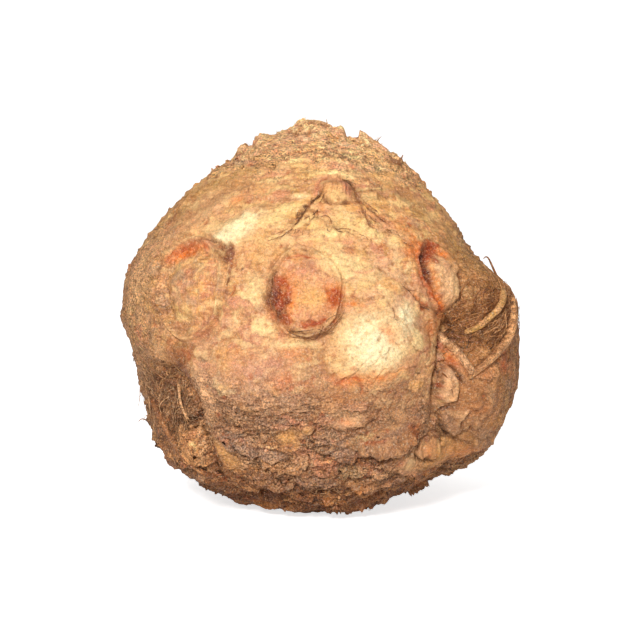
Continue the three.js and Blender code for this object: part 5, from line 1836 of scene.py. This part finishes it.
@dataclass
class Crown:
    """The crown: leaf bases torn off low, which together make a rough mound, and scraps of fibre."""

    # The numbered leaf bases: around, out, half, thick and keeps.
    numbered: tuple[tuple[float, ...], ...] = (
        (352, 21, 21, 8.5, 0.95),
        (30, 23, 18, 8, 1),
        (66, 23, 18, 7, 1.1),
        (102, 23, 18, 6, 1),
        (138, 23, 19, 6.5, 0.9),
        (175, 22, 20, 6.5, 1),
        (212, 23, 19, 6, 0.9),
        (248, 23, 18, 6, 1),
        (283, 24, 17, 7, 1.1),
        (318, 23, 18, 8, 1),
        (10, 13, 30, 6.5, 1),
        (68, 13, 28, 5.5, 1),
        (128, 13, 28, 5, 1),
        (188, 13, 30, 5, 1),
        (248, 13, 28, 5, 1),
        (308, 13, 30, 6, 1),
    )
    heart: tuple[LeafBase, ...] = (
        LeafBase(40, 4.5, 80, 5, 1, "crown_heart"),
        LeafBase(220, 4.5, 90, 4.5, 0.9),
    )
    # The crest's height above the ground at places from left to right, seen from the front.
    crest_x: tuple[float, ...] = (
        -34, -30.4, -28.5, -26.9, -25.1, -23.5, -22.7, -20.6, -20.2, -18.5, -14.9, -10.9, -8.7, -7,
        -5.1, 0.6, 3.3, 4.1, 6.9, 7.8, 8.4, 12.2, 12.8, 14.9, 17.6, 20.2, 22, 22.8, 25.6, 30.4,
    )
    crest_z: tuple[float, ...] = (
        105.6, 107.8, 110.5, 112.2, 115.2, 116.4, 115.2, 115.2, 117.4, 118.7, 118.2, 119.5, 120.4,
        122, 122.7, 122.3, 121.1, 120.2, 120.8, 119.3, 116.2, 115.4, 119.6, 118.4, 116.7, 114.6,
        111.8, 110.2, 108.4, 105.5,
    )
    steps: int = 56
    sides: int = 26
    cap_reach: float = 36.0
    cap_rings: int = 104
    cap_sides: int = 420
    small_bases: int = 12
    scrap_count: int = 320
    seed: int = 300
    small_base_seed: int = 9
    scrap_seed: int = 5
    cap_seed: int = 61

    def mound(self, points: Array) -> Array:
        """Returns the crown's height over the skin: the crest's, less towards the front and the back.

        The crest runs from left to right over the crown's axis. Its height over the skin there is read
        between the listed places.
        """
        x = np.array(self.crest_x)
        level = np.sqrt(1 - (x / SKIN_RADIUS) ** 2)
        under = on_skin(np.stack([x / SKIN_RADIUS, level * CROWN_AXIS[1], level * CROWN_AXIS[2]], axis=-1))
        rise = np.clip(np.array(self.crest_z) - 0.14 * under[:, 1] - under[:, 2], 0, 7)
        beside = np.abs(points[..., 1] - under[:, 1].max())
        return np.interp(points[..., 0], x, rise) * smooth(26, 3, beside)

    def cap(self) -> tuple[Array, Array]:
        """Works out the spongy mass of old leaf bases that have grown together over the crown.

        Rings of points run out from the crown's axis. Each point is raised along the axis by the
        mound's height, roughened by noise and pitted. The outer rings sink into the skin, and one
        point below closes the underside.

        Returns:
            The rings and the colour of each of their points.
        """
        noise, cells = GradientNoise(self.cap_seed), CellNoise(self.cap_seed + 1)
        turn = np.arange(self.cap_sides) * 360 / self.cap_sides
        out, around = np.meshgrid(np.linspace(0, self.cap_reach, self.cap_rings), turn, indexing="ij")
        d = about_crown(around, out)
        skin = on_skin(d.reshape(-1, 3)).reshape(d.shape)
        place = skin.reshape(-1, 3)
        rough = noise.layers(place / 3.4, 3).reshape(out.shape)
        fine = noise.layers(place / 1.3 + 9, 2).reshape(out.shape)
        strands = noise.layers(place * [1.1, 0.4, 0.4] + 30, 2).reshape(out.shape)
        warm = noise.layers(place / 6 + 3, 2).reshape(out.shape)
        pits = smooth(0.42, 0.2, cells(place / 1.7)[0]).reshape(out.shape) * smooth(-0.2, 0.2, -warm)
        tall = self.mound(skin + 0.5 * np.stack([fine, 4 * rough, 0 * fine], axis=-1))
        raised = smooth(0.3, 2.5, tall)
        relief = 0.6 * rough + 0.4 * fine + 0.3 * strands - 0.7 * pits
        lift = tall * smooth(self.cap_reach, self.cap_reach - 8, out) + relief * (0.4 + 0.6 * raised)
        lift = lift - 1.6 * smooth(self.cap_reach - 7, self.cap_reach, out + 2 * rough)
        points = skin + CROWN_AXIS * lift[..., None]
        points = np.concatenate([points, np.broadcast_to(CORE + CROWN_AXIS * 44, points[:1].shape)])
        tone = mixed(TAN, PALE_TAN, 0.6 + 1.1 * fine)
        shades = (
            (ROSE, smooth(0, 0.4, warm) * 0.6),
            (GOLD, smooth(0.1, 0.5, -warm) * 0.6),
            (CREAM, smooth(0.05, 0.4, rough + 0.3 * strands) * 0.7 * (0.4 + 0.6 * raised)),
            (CREAM, smooth(2.5, 6, tall) * 0.5),
            (GOLD, smooth(14, 20, skin[..., 0]) * 0.35),
            (BROWN, smooth(0.1, 0.4, -rough) * 0.7),
            (ORANGE, smooth(0.2, 0.5, strands) * 0.3),
            (UMBER, smooth(0.12, 0.4, -fine) * 0.45),
            (DARK, pits * 0.65),
        )
        tone = layered(tone, shades) * (CAP_TINT + smooth(-6, 8, skin[..., :1]) * CAP_GLOW)
        return points, np.concatenate([tone, tone[-1:]])

    def shape(self, base: LeafBase, seed: int) -> tuple[Array, Array]:
        """Works out one leaf base.

        Its rows run across it and each row is a ring: up the inner face, over the torn top and down the
        outer face, which is half an ellipse over the skin. Its height is the mound's times what it
        keeps, drawn down at its two sides and torn by noise. The surface is roughened and pitted.

        Args:
            base: its place and size.
            seed: picks its irregularities.

        Returns:
            The rings and the colour of each of their points.
        """
        noise, cells = GradientNoise(seed), CellNoise(seed)
        turn = np.linspace(0, np.pi, self.sides)
        grid_s, grid_q = np.meshgrid(np.linspace(-1, 1, self.steps), turn, indexing="ij")
        face, rise = -np.cos(grid_q), np.sin(grid_q) ** 0.8
        ends = np.sqrt(np.clip(1 - grid_s**2, 0, 1))
        spots = np.stack([grid_s * base.half / 8, 0.9 * rise, 0.9 * face], axis=-1).reshape(-1, 3)
        broad = noise(spots).reshape(face.shape)
        across = np.degrees(face * base.thick / 2 / SKIN_RADIUS) * ends
        around = base.around + grid_s * base.half + 4 * broad
        d = about_crown(around, base.out + across + 3 * broad).reshape(-1, 3)
        skin = on_skin(d).reshape(*face.shape, 3)
        place = skin.reshape(-1, 3)
        rough = noise.layers(place / 2.4, 3).reshape(face.shape)
        fine = noise.layers(place / 1.0 + 9, 2).reshape(face.shape)
        pits = smooth(0.45, 0.2, cells(place / 1.9)[0]).reshape(face.shape)
        torn = 0.92 + 0.25 * broad + 0.3 * rough
        tall = (self.mound(skin) * base.keeps + 0.1) * (0.5 + 0.5 * ends) * np.clip(torn, 0.5, 1.0)
        lift = -1.4 + (tall + 1.4) * rise + rise * (0.35 * rough + 0.12 * fine - 0.3 * pits)
        points = skin + d.reshape(skin.shape) * lift[..., None]
        tone = mixed(PALE_TAN, ROSE, 0.3 + 0.9 * rough)
        warm = noise(place / 5 + 3).reshape(face.shape)
        shades = (
            (PALE_TAN, smooth(0, 0.4, warm) * 0.8),
            (CREAM, smooth(0, 0.4, -rough) * 0.7),
            (BROWN, smooth(0.15, 0.6, fine) * 0.5),
            (UMBER, pits * 0.45),
            (BROWN, smooth(0.2, -0.6, face) * 0.3),
        )
        return points, layered(tone, shades) * (LEAF_TINT + smooth(-6, 8, skin[..., :1]) * LEAF_GLOW)

    def scraps(self) -> tuple[Array, Array]:
        """Scatters short scraps of fibre over the crown, drawn from a fixed seed.

        Returns:
            The rings and the colour of each of their points.
        """
        rng = np.random.default_rng(self.scrap_seed)
        many, steps = self.scrap_count, 5
        around = rng.uniform(0, 360, many)
        d = about_crown(around, 32 * np.sqrt(rng.uniform(0.0, 1, many)))
        skin = on_skin(d)
        foot = skin + d * (self.mound(skin) - 0.5)[:, None]
        way = unit(d + 0.9 * rng.normal(size=(many, 3)))
        t = np.linspace(0, 1, steps)[None, :, None]
        bend = rng.normal(size=(many, 1, 3)) * 0.5
        paths = foot[:, None] + way[:, None] * rng.uniform(0.5, 1.4, (many, 1, 1)) * t + bend * t**2
        radii = rng.uniform(0.08, 0.24, (many, 1)) * (1 - 0.6 * t[0, :, 0])[None]
        tone = mixed(CREAM, BROWN, rng.uniform(0, 1.3, (many, 1, 1)))
        return tubes(paths, radii, 4), tone * rng.uniform(0.7, 1.05, (many, 1, 1, 1))

    def build(self, finish: Material) -> None:
        """Makes the leaf bases and the scraps between them."""
        loose = Heap()
        loose.add(*self.scraps())
        loose.add(*self.cap())
        rng = np.random.default_rng(self.small_base_seed)
        ranges = (0, 360), (5, 28), (8, 16), (2.5, 5), (0.9, 1.25)
        small = tuple(LeafBase(*(rng.uniform(*ends) for ends in ranges)) for _ in range(self.small_bases))
        outer = tuple(LeafBase(*sizes, f"leaf_base_{n}") for n, sizes in enumerate(self.numbered, start=1))
        for number, base in enumerate(outer + self.heart + small, start=1):
            heap = Heap() if base.node else loose
            heap.add(*self.shape(base, self.seed + number))
            if base.node:
                keep(heap.build(f"{base.node}_torn"), finish, "leaf_base", base.node)
        keep(loose.build("crown_scraps"), finish, "leaf_base")


@dataclass
class SkinThreads:
    """The dried root threads that lie in the furrows and round the scars."""

    steps: int = 30
    sides: int = 4
    drift: float = 3.0
    seed: int = 500

    def shape(self, line: Line, seed: int) -> tuple[Array, Array]:
        """Works out the threads of one furrow.

        Each follows a Catmull-Rom curve through the furrow's knots, between two random ends, and
        strays sideways by smooth noise.

        Args:
            line: the furrow.
            seed: picks the threads.

        Returns:
            The rings and the colour of each of their points.
        """
        rng = np.random.default_rng(seed)
        noise = GradientNoise(seed)
        many = line.threads
        first = rng.uniform(0, 0.35, (many, 1))
        t = first + (rng.uniform(0.7, 1, (many, 1)) - first) * np.linspace(0, 1, self.steps)
        knots = direction(*np.array(line.through, dtype=float).T)
        d = unit(through_values(knots, (t * (len(knots) - 1)).reshape(-1)))
        apart = np.repeat(np.arange(many), self.steps)[:, None] * 7.7
        stray = np.stack([noise(d * 9 + 50 * k + apart) for k in range(3)], axis=-1)
        d = unit(d + self.drift / SKIN_RADIUS * stray)
        height = 0.12 + 0.5 * noise(d * 30 + 5)
        paths = on_skin(d, height).reshape(many, self.steps, 3)
        radii = rng.uniform(0.06, 0.14, (many, 1)) * (1.1 - 0.5 * np.linspace(0, 1, self.steps))
        tone = mixed(BROWN, DARK, rng.uniform(0, 1, many))
        return tubes(paths, radii, self.sides), tone[:, None, None]

    def build(self, finish: Material) -> None:
        """Makes all the threads as one piece."""
        heap = Heap()
        for number, line in enumerate(LINES):
            if line.threads:
                heap.add(*self.shape(line, self.seed + number))
        keep(heap.build("skin_threads"), finish, "side_root")


@dataclass(frozen=True)
class HairPatch:
    """A patch of hair roots: where they start, how far round it, how many, and how they run.

    Lengths and radii are drawn between two values. The heading is in degrees from the right towards
    up, give or take the spread, curl is how far one bends over its length, lift how high its middle
    lies over the skin and free how high its far end stands.
    """

    at: Place
    size: Place
    count: int
    length: Place
    radius: Place
    heading: float
    spread: float = 40
    curl: float = 70
    lift: float = 0.6
    free: float = 0.3
    tones: tuple[Tone, Tone] = (UMBER, PALE_TAN)


@dataclass
class HairRoots:
    """The hair roots: a tangle in each hollow, and strays over the sides and the underside."""

    right: tuple[HairPatch, ...] = (
        HairPatch((50, 3), (7, 4), 110, (3, 9), (0.1, 0.24), 28, 90, 200, 0.8, 0.5, (UMBER, LOBE)),
        HairPatch((56, 6), (9, 5), 90, (6, 16), (0.1, 0.26), 30, 14, 40, 0.8, 0.6, (UMBER, LOBE)),
        HairPatch((60, 0), (9, 4), 110, (6, 16), (0.1, 0.28), 32, 12, 30, 0.8, 0.5, (UMBER, TAN)),
        HairPatch((54, -4), (7, 4), 60, (4, 11), (0.1, 0.24), 36, 14, 40, 0.7, 0.5, (DARK, LOBE)),
        HairPatch((66, 6), (9, 6), 60, (6, 14), (0.1, 0.26), 32, 22, 60, 0.7, 0.8, (BROWN, TAN)),
        HairPatch((46, -1), (5, 4), 50, (3, 7), (0.1, 0.2), 10, 90, 180, 0.8, 0.6, (DARK, ROSE)),
        HairPatch((40, -8), (3, 5), 10, (4, 9), (0.14, 0.3), -70, 40, 60, 0.4, 0.3, (UMBER, TAN)),
        HairPatch((80, 4), (8, 12), 26, (5, 12), (0.15, 0.35), 40, 40, 90, 0.6, 1.2, (BROWN, TAN)),
    )
    left: tuple[HairPatch, ...] = (
        HairPatch((-54, -14), (9, 4), 80, (3, 10), (0.09, 0.2), -35, 80, 180, 0.9, 0.6, (DARK, TAN)),
        HairPatch((-56, -20), (8, 5), 90, (4, 11), (0.09, 0.2), -75, 50, 150, 1, 0.6, (DARK, PALE_TAN)),
        HairPatch((-64, -17), (10, 4), 80, (3, 10), (0.09, 0.22), -20, 90, 180, 0.8, 0.8, (DARK, PALE_TAN)),
        HairPatch((-58, -27), (9, 6), 60, (3, 9), (0.09, 0.22), -40, 80, 160, 0.7, 0.5, (DARK, TAN)),
        HairPatch((-44, -30), (6, 10), 16, (4, 9), (0.1, 0.2), -80, 50, 140, 0.5, 0.3),
        HairPatch((-72, -28), (9, 12), 60, (4, 11), (0.1, 0.24), -60, 80, 160, 0.6, 0.9),
        HairPatch((-67, 4), (7, 15), 110, (2, 6), (0.06, 0.15), -70, 80, 160, 0.3, 0.3, (UMBER, CREAM)),
        HairPatch((-82, -34), (6, 12), 22, (4, 9), (0.12, 0.24), -120, 50, 120, 0.6, 2),
        HairPatch((-56, -44), (14, 8), 30, (4, 10), (0.12, 0.3), -90, 70, 140, 0.5, 0.6),
    )
    # Single hairs: radius, and points in the part's own frame.
    single: tuple[tuple[float, tuple[Point, ...]], ...] = (
        (0.5, ((57, -4, 65.6), (56.8, -2, 69), (56, 0, 72.4), (54.8, 0, 75.2), (53.8, 0, 77.4), (53, 0, 78.8),
               (52.2, 0, 79), (51.6, 0, 78.4))),
        (0.3, ((58, -3, 66.4), (56.4, -2, 69.6), (55.2, 0, 71.4))),
        (0.36, ((-51.4, 0, 22.4), (-53.7, 0, 24.9), (-55.2, 0, 26.4), (-56.9, 0, 27), (-58.1, 0, 26.1))),
        (0.45, ((24, -9.6, 109.4), (24.8, -9.6, 110.2), (25.3, -9.4, 111), (25.6, -9.4, 111.7))),
        (1.3, ((21.6, -9.8, 108.6), (22.8, -9.9, 109.3), (24, -9.8, 109.3), (25, -9.4, 108.6))),
        (0.26, ((-55.2, -30.4, 53.4), (-50.4, -34.6, 49), (-46.6, -38.2, 46.8), (-43, -40.6, 46.4))),
    )
    below: tuple[HairPatch, ...] = (
        HairPatch((-10, -50), (30, 6), 70, (4, 11), (0.14, 0.35), -80, 80, 140, 0.6, 0.8),
        HairPatch((30, -50), (26, 6), 60, (4, 11), (0.14, 0.35), -80, 80, 140, 0.6, 0.8),
        HairPatch((0, -57), (40, 4), 36, (3, 7), (0.15, 0.35), -90, 60, 120, 0.4, 0.9),
        HairPatch((120, -46), (70, 12), 90, (4, 12), (0.14, 0.35), -80, 90, 140, 0.6, 0.8),
        HairPatch((-140, -46), (70, 12), 90, (4, 12), (0.14, 0.35), -80, 90, 140, 0.6, 0.8),
    )
    behind: tuple[HairPatch, ...] = (
        HairPatch((150, -12), (8, 12), 60, (5, 15), (0.14, 0.4), -70, 70, 160, 0.9, 0.5),
        HairPatch((-150, -10), (8, 12), 60, (5, 15), (0.14, 0.4), -70, 70, 160, 0.9, 0.5),
    )
    steps: int = 10
    sides: int = 4
    ground_gap: float = 0.4

    def shape(self, patch: HairPatch, seed: int) -> tuple[Array, Array]:
        """Works out a patch of hairs.

        Each hair starts at a random place and runs along the skin. Its heading turns steadily and
        wavers, and its place is the running sum of its steps. Its height is a low arch plus a rise
        towards the free end, and its radius shrinks to the tip.

        Args:
            patch: the patch.
            seed: picks the hairs.

        Returns:
            The rings and the colour of each of their points.
        """
        rng = np.random.default_rng(seed)
        many = patch.count
        spread = rng.normal(size=(many, 2)) * SCATTER * np.array(patch.size) / SKIN_RADIUS
        east, north = tangents(direction(*patch.at), 0.0)
        start = unit(direction(*patch.at) + spread[:, :1] * east + spread[:, 1:] * north)
        t = np.linspace(0, 1, self.steps)
        column = (many, 1)
        length = rng.uniform(*patch.length, column)
        bend = np.radians(rng.normal(0, patch.curl, column))
        wave = rng.uniform(0.2, 0.9, column)
        wave = wave * np.sin(t * rng.uniform(4, 9, column) + rng.uniform(0, 6, column))
        angle = np.radians(patch.heading + rng.normal(0, patch.spread, column)) + bend * (t - 0.3) + wave
        step = length / (self.steps - 1) / SKIN_RADIUS
        x = np.cumsum(np.cos(angle) * step, axis=1)
        y = np.cumsum(np.sin(angle) * step, axis=1)
        run, side = tangents(start, 0.0)
        d = unit(start[:, None] + x[..., None] * run[:, None] + y[..., None] * side[:, None])
        arch = rng.uniform(0.3, 1.5, column) * patch.lift * np.sin(np.pi * np.clip(t * 1.15, 0, 1))
        height = -0.3 + arch + patch.free * rng.uniform(0, 1, column) * t**2 * 2
        paths = on_skin(d.reshape(-1, 3), height.reshape(-1)).reshape(d.shape)
        paths[..., 2] = np.maximum(paths[..., 2], self.ground_gap)
        radius = np.exp(rng.uniform(*np.log(patch.radius), column))
        radii = radius * (1.05 - 0.75 * t) * (1 + 0.15 * np.sin(t * 20 + rng.uniform(0, 6, column)))
        tone = mixed(*patch.tones, rng.uniform(0, 1, many) ** 1.3)
        tone = tone * rng.uniform(0.7, 1, column)
        return tubes(paths, radii, self.sides), tone[:, None, None]

    def build(self, finish: Material) -> None:
        """Makes one piece of each group of patches."""
        for seed, group in enumerate(("right", "left", "below", "behind")):
            patches = getattr(self, group)
            heap = Heap()
            for number, patch in enumerate(patches):
                heap.add(*self.shape(patch, 1000 * seed + number))
            if group == "behind":
                for radius, knots in self.single:
                    t = np.linspace(0, len(knots) - 1, 24)
                    path = through_values(np.array(knots, dtype=float), t)
                    thin = radius * (1.1 - 0.8 * t / t[-1])
                    heap.add(tubes(path[None], thin[None], 6), mixed(UMBER, PALE_TAN, np.array(0.12)))
            keep(heap.build(f"hair_roots_{group}"), finish, "side_root")


@dataclass(frozen=True)
class FlakePatch:
    """A patch of torn skin plates, which run from their roots along a heading and lift at the far end."""

    at: Place
    size: Place
    count: int
    length: Place
    width: Place
    heading: float
    spread: float = 35
    lift: Place = (0.3, 1.2)
    tones: tuple[Tone, ...] = (TAN, BROWN, GREY, CRUST, ROSE)


@dataclass
class SkinFlakes:
    """The plates and scraps of torn skin that stand off the tuber, most of them on its lower half."""

    front: tuple[FlakePatch, ...] = (
        FlakePatch((-16, -25), (20, 9), 10, (1.6, 3.2), (2.5, 6), -90, 20, (0.1, 0.4)),
        FlakePatch((4, -34), (26, 8), 22, (2, 4), (3, 8), -88, 18, (0.15, 0.6)),
        FlakePatch((-20, -42), (20, 6), 20, (2.2, 4.6), (3, 9), -100, 18, (0.2, 0.7)),
        FlakePatch((22, -46), (20, 5), 18, (2.2, 4.6), (3, 9), -80, 18, (0.2, 0.7)),
        FlakePatch((0, -52), (34, 5), 30, (2.6, 5), (4, 10), -90, 20, (0.3, 1), (BROWN, LOBE, TAN)),
        FlakePatch((0, -60), (30, 4), 28, (3, 5.5), (4, 10), -90, 24, (0.4, 1.2), (BROWN, UMBER, LOBE)),
        FlakePatch((-54, -36), (12, 8), 16, (1.8, 4), (2, 6), -100, 40, (0.2, 0.8), (BROWN, UMBER, TAN)),
        FlakePatch((-46, -50), (16, 6), 12, (2.2, 4.6), (3, 8), -96, 24, (0.15, 0.5), (BROWN, UMBER)),
        FlakePatch((48, -52), (12, 4), 8, (2, 4), (3, 8), -84, 24, (0.2, 0.8), (BROWN, CRUST)),
        FlakePatch((14, -63), (3, 1.2), 5, (3, 5), (3, 6), -84, 10, (0.6, 1.6), (BROWN, UMBER)),
        FlakePatch((32, -59.6), (2.4, 1.2), 6, (3, 4.4), (2, 4), -84, 14, (0.8, 2), (BROWN, UMBER)),
        FlakePatch((-47.2, -27.8), (0, 0), 1, (10.5, 11), (12, 12.5), -96, 0, (0.7, 0.9), (TAN,)),
    )
    edges: tuple[FlakePatch, ...] = (
        FlakePatch((-86, 24), (8, 26), 22, (1, 3), (1, 2.8), 150, 60, (0.2, 0.8)),
        FlakePatch((-84, -20), (10, 24), 24, (1.5, 3.6), (1.4, 4), -120, 50, (0.2, 0.8), (BROWN, UMBER)),
        FlakePatch((86, 34), (8, 16), 18, (1, 3), (1, 2.8), 40, 60, (0.2, 0.8)),
        FlakePatch((-70, 52), (22, 10), 14, (1, 2.6), (1, 2.6), 120, 60, (0.2, 0.8)),
        FlakePatch((64, 52), (22, 10), 14, (1, 2.6), (1, 2.6), 50, 60, (0.2, 0.8)),
    )
    behind: tuple[FlakePatch, ...] = (
        FlakePatch((145, -42), (45, 12), 80, (2, 4.6), (2.6, 8), -90, 26, (0.3, 1.1)),
        FlakePatch((-145, -42), (45, 12), 80, (2, 4.6), (2.6, 8), -90, 26, (0.3, 1.1)),
        FlakePatch((180, 10), (70, 26), 60, (1.2, 3), (1.4, 4), -90, 50, (0.2, 0.8)),
    )
    rows: int = 6
    columns: int = 6

    def layout(self, patch: FlakePatch, seed: int) -> tuple[Array, Array, Array, Array]:
        """Works out where a patch's plates lie.

        A plate is a thin closed sheet: rows run from its root to its torn edge, and each row is a ring
        over its upper side and back under its lower side. Its sides waver, its far edge is torn to
        different lengths across, and its height over the skin grows with the distance from its root.

        Args:
            patch: the patch.
            seed: picks the plates.

        Returns:
            For each plate, row and place round the ring: the direction, the height over the skin, the
            plate's own colour with its share, and the painted shade and light.
        """
        rng = np.random.default_rng(seed)
        many = patch.count
        east, north = tangents(direction(*patch.at), 0.0)
        spread = rng.normal(size=(many, 2)) * SCATTER * np.array(patch.size) / SKIN_RADIUS
        start = unit(direction(*patch.at) + spread[:, :1] * east + spread[:, 1:] * north)
        run, side = tangents(start, patch.heading + rng.normal(0, patch.spread, many))
        u = np.linspace(0, 1, self.rows)[None, :, None]
        across = np.linspace(-1, 1, self.columns)
        v = np.concatenate([-across, across])[None, None]
        top = np.concatenate([np.ones(self.columns), -np.ones(self.columns)])[None, None]
        tear = rng.uniform(0.72, 1.12, (many, 1, self.columns)) * (1 - 0.35 * across**2)
        tear = np.concatenate([tear[..., ::-1], tear], axis=2)
        each = (many, 1, 1)
        long = u * rng.uniform(*patch.length, each) * (1 + (tear - 1) * u)
        side_waver = rng.uniform(0.8, 1.15, (many, self.rows, 2))
        narrow = np.where(v < 0, side_waver[..., :1], side_waver[..., 1:]) * (1 - 0.3 * u**2)
        wide = v * rng.uniform(*patch.width, each) / 2 * narrow
        over = long[..., None] * run[:, None, None] + wide[..., None] * side[:, None, None]
        d = start[:, None, None] + over / SKIN_RADIUS
        rise = rng.uniform(*patch.lift, each) * u ** rng.uniform(0.8, 1.8, each)
        droop = 0.35 * np.abs(v) ** 3 * rise
        thick = rng.uniform(0.14, 0.26, each) * np.sqrt(np.clip(1 - v**8, 0, 1)) * (u > 0)
        height = -0.3 + rise - droop + top * thick
        pick = np.array([tone.linear for tone in patch.tones])[rng.integers(len(patch.tones), size=many)]
        # Painted shade and light: the underside at half brightness, the far, lifted end and the sides
        # lighter.
        shade = (0.8 + 0.3 * u**2 + 0.12 * v**4) * np.where(top > 0, 1, 0.5) * rng.uniform(0.85, 1.1, each)
        own = np.concatenate([pick, rng.uniform(0.15, 0.7, (many, 1))], axis=1)[:, None, None]
        return unit(d), height, np.broadcast_to(own, (*d.shape[:3], 4)), shade

    def build(self, finish: Material) -> None:
        """Makes one piece of each group of patches, laid on the skin with the skin's own colour."""
        for seed, group in enumerate(("front", "edges", "behind")):
            patches = enumerate(getattr(self, group), start=7000 + 100 * seed)
            parts = [self.layout(patch, number) for number, patch in patches]
            d, height, own, shade = (np.concatenate(part) for part in zip(*parts))
            skin = Skin(d.reshape(-1, 3))
            points = (CORE + skin.d * (skin.radius + height.reshape(-1))[:, None]).reshape(d.shape)
            points[..., 2] = np.maximum(points[..., 2], GROUND_GAP)
            share = own[..., 3:]
            tone = skin.tone.reshape(d.shape) * (1 - share) + own[..., :3] * share * FLAKE_TINT
            heap = Heap()
            heap.add(points, tone * shade[..., None])
            keep(heap.build(f"skin_flakes_{group}"), finish, "skin")


@dataclass
class Studio:
    """The floor, the lamps and the camera."""

    target: Point = (0.0, 0.0, 58.9)
    elevation: float = 8.0
    distance: float = 600.0
    frame_width: float = 203.0
    room_light: float = 0.24
    # Each lamp's name, place, size and power.
    lamps: tuple[tuple[str, Point, float, float], ...] = (
        ("key", (-180, -1000, 520), 150, 10.2),
        ("fill", (800, -900, 300), 700, 1.6),
        ("top", (0, 100, 1200), 800, 2.5),
    )

    def floor(self) -> None:
        """Lays a white floor that curves up into a backdrop: a profile carried across."""
        turn = np.linspace(0, np.pi / 2, 16)
        near, rear, rise, bend, half = -2500.0, 900.0, 1500.0, 500.0, 3000.0
        depth = np.concatenate([[near], rear + bend * np.sin(turn), [rear + bend]])
        height = np.concatenate([[0.0], bend * (1 - np.cos(turn)), [rise]])
        across = np.array([-half, half])
        points = np.stack(np.broadcast_arrays(across[None], depth[:, None], height[:, None]), axis=-1)
        made = join_mesh("backdrop", points.reshape(-1, 3), grid_faces(len(depth), 2, False))
        material = bpy.data.materials.new("white_paper")
        material.use_nodes = True
        n = Nodes(material.node_tree)
        shader = material.node_tree.nodes["Principled BSDF"]
        shader.inputs["Base Color"].default_value = (0.9, 0.9, 0.9, 1)
        shader.inputs["Roughness"].default_value = 0.9
        shader.inputs["Emission Color"].default_value = (1, 1, 1, 1)
        rays = n.add("LightPath").outputs
        bent = n.math("MAXIMUM", rays["Is Glossy Ray"], rays["Is Transmission Ray"])
        glow = n.times(n.math("MAXIMUM", rays["Is Camera Ray"], bent), 0.7)
        material.node_tree.links.new(glow, shader.inputs["Emission Strength"])
        made.data.materials.append(material)

    def lamp(self, name: str, place: Point, size: float, power: float) -> None:
        """Hangs a square lamp that faces the part.

        Args:
            name: the lamp's name.
            place: where it hangs, in millimetres.
            size: the side of its square, in millimetres.
            power: watts.
        """
        light = bpy.data.lights.new(name, "AREA")
        light.size = size * MM
        light.energy = power
        made = bpy.data.objects.new(name, light)
        made.location = np.array(place) * MM
        away = np.array(place) - np.array(self.target)
        made.rotation_euler = self.facing(away)
        bpy.context.scene.collection.objects.link(made)

    @staticmethod
    def facing(away: Array) -> Point:
        """Returns the turn that points a camera or a lamp back along a vector."""
        level = math.hypot(away[0], away[1])
        return (math.atan2(level, away[2]), 0.0, math.atan2(away[0], -away[1]))

    def camera(self) -> None:
        """Places the camera."""
        e = math.radians(self.elevation)
        away = np.array([0.0, -math.cos(e), math.sin(e)]) * self.distance
        lens = bpy.data.cameras.new("camera")
        lens.sensor_width = 36.0
        lens.lens = lens.sensor_width * self.distance / self.frame_width
        lens.clip_end = 20.0
        made = bpy.data.objects.new("camera", lens)
        made.location = (np.array(self.target) + away) * MM
        made.rotation_euler = self.facing(away)
        bpy.context.scene.collection.objects.link(made)
        bpy.context.scene.camera = made

    def build(self) -> None:
        """Sets up the whole studio."""
        self.floor()
        for lamp in self.lamps:
            self.lamp(*lamp)
        world = bpy.data.worlds.new("room")
        world.use_nodes = True
        air = world.node_tree.nodes["Background"].inputs
        air["Color"].default_value = (1, 1, 1, 1)
        air["Strength"].default_value = self.room_light
        bpy.context.scene.world = world
        bpy.context.scene.view_settings.view_transform = "Standard"
        self.camera()


def main() -> None:
    """Builds the part and its studio, piece by piece."""
    logging.basicConfig(level=logging.INFO, format="%(message)s")
    grain = grain_group()
    skin = PlantFinish("skin", relief=0.32).make(grain)
    root = PlantFinish("root_bark", coarse=0.6, fibre=0.5, gloss=0.1, relief=0.25).make(grain)
    leaf = PlantFinish("leaf_base", coarse=0.4, fibre=0.9, gloss=0.05, relief=0.25).make(grain)
    hair = PlantFinish("hair_root", coarse=0.2, fibre=0.2, gloss=0.2, relief=0.1).make(grain)
    Tuber().build(skin)
    FrontSkin().build(skin)
    SideRoots().build(root)
    RootStumps().build(root)
    Crown().build(leaf)
    SkinThreads().build(hair)
    HairRoots().build(hair)
    SkinFlakes().build(root)
    Studio().build()


if __name__ == "__main__":
    main()
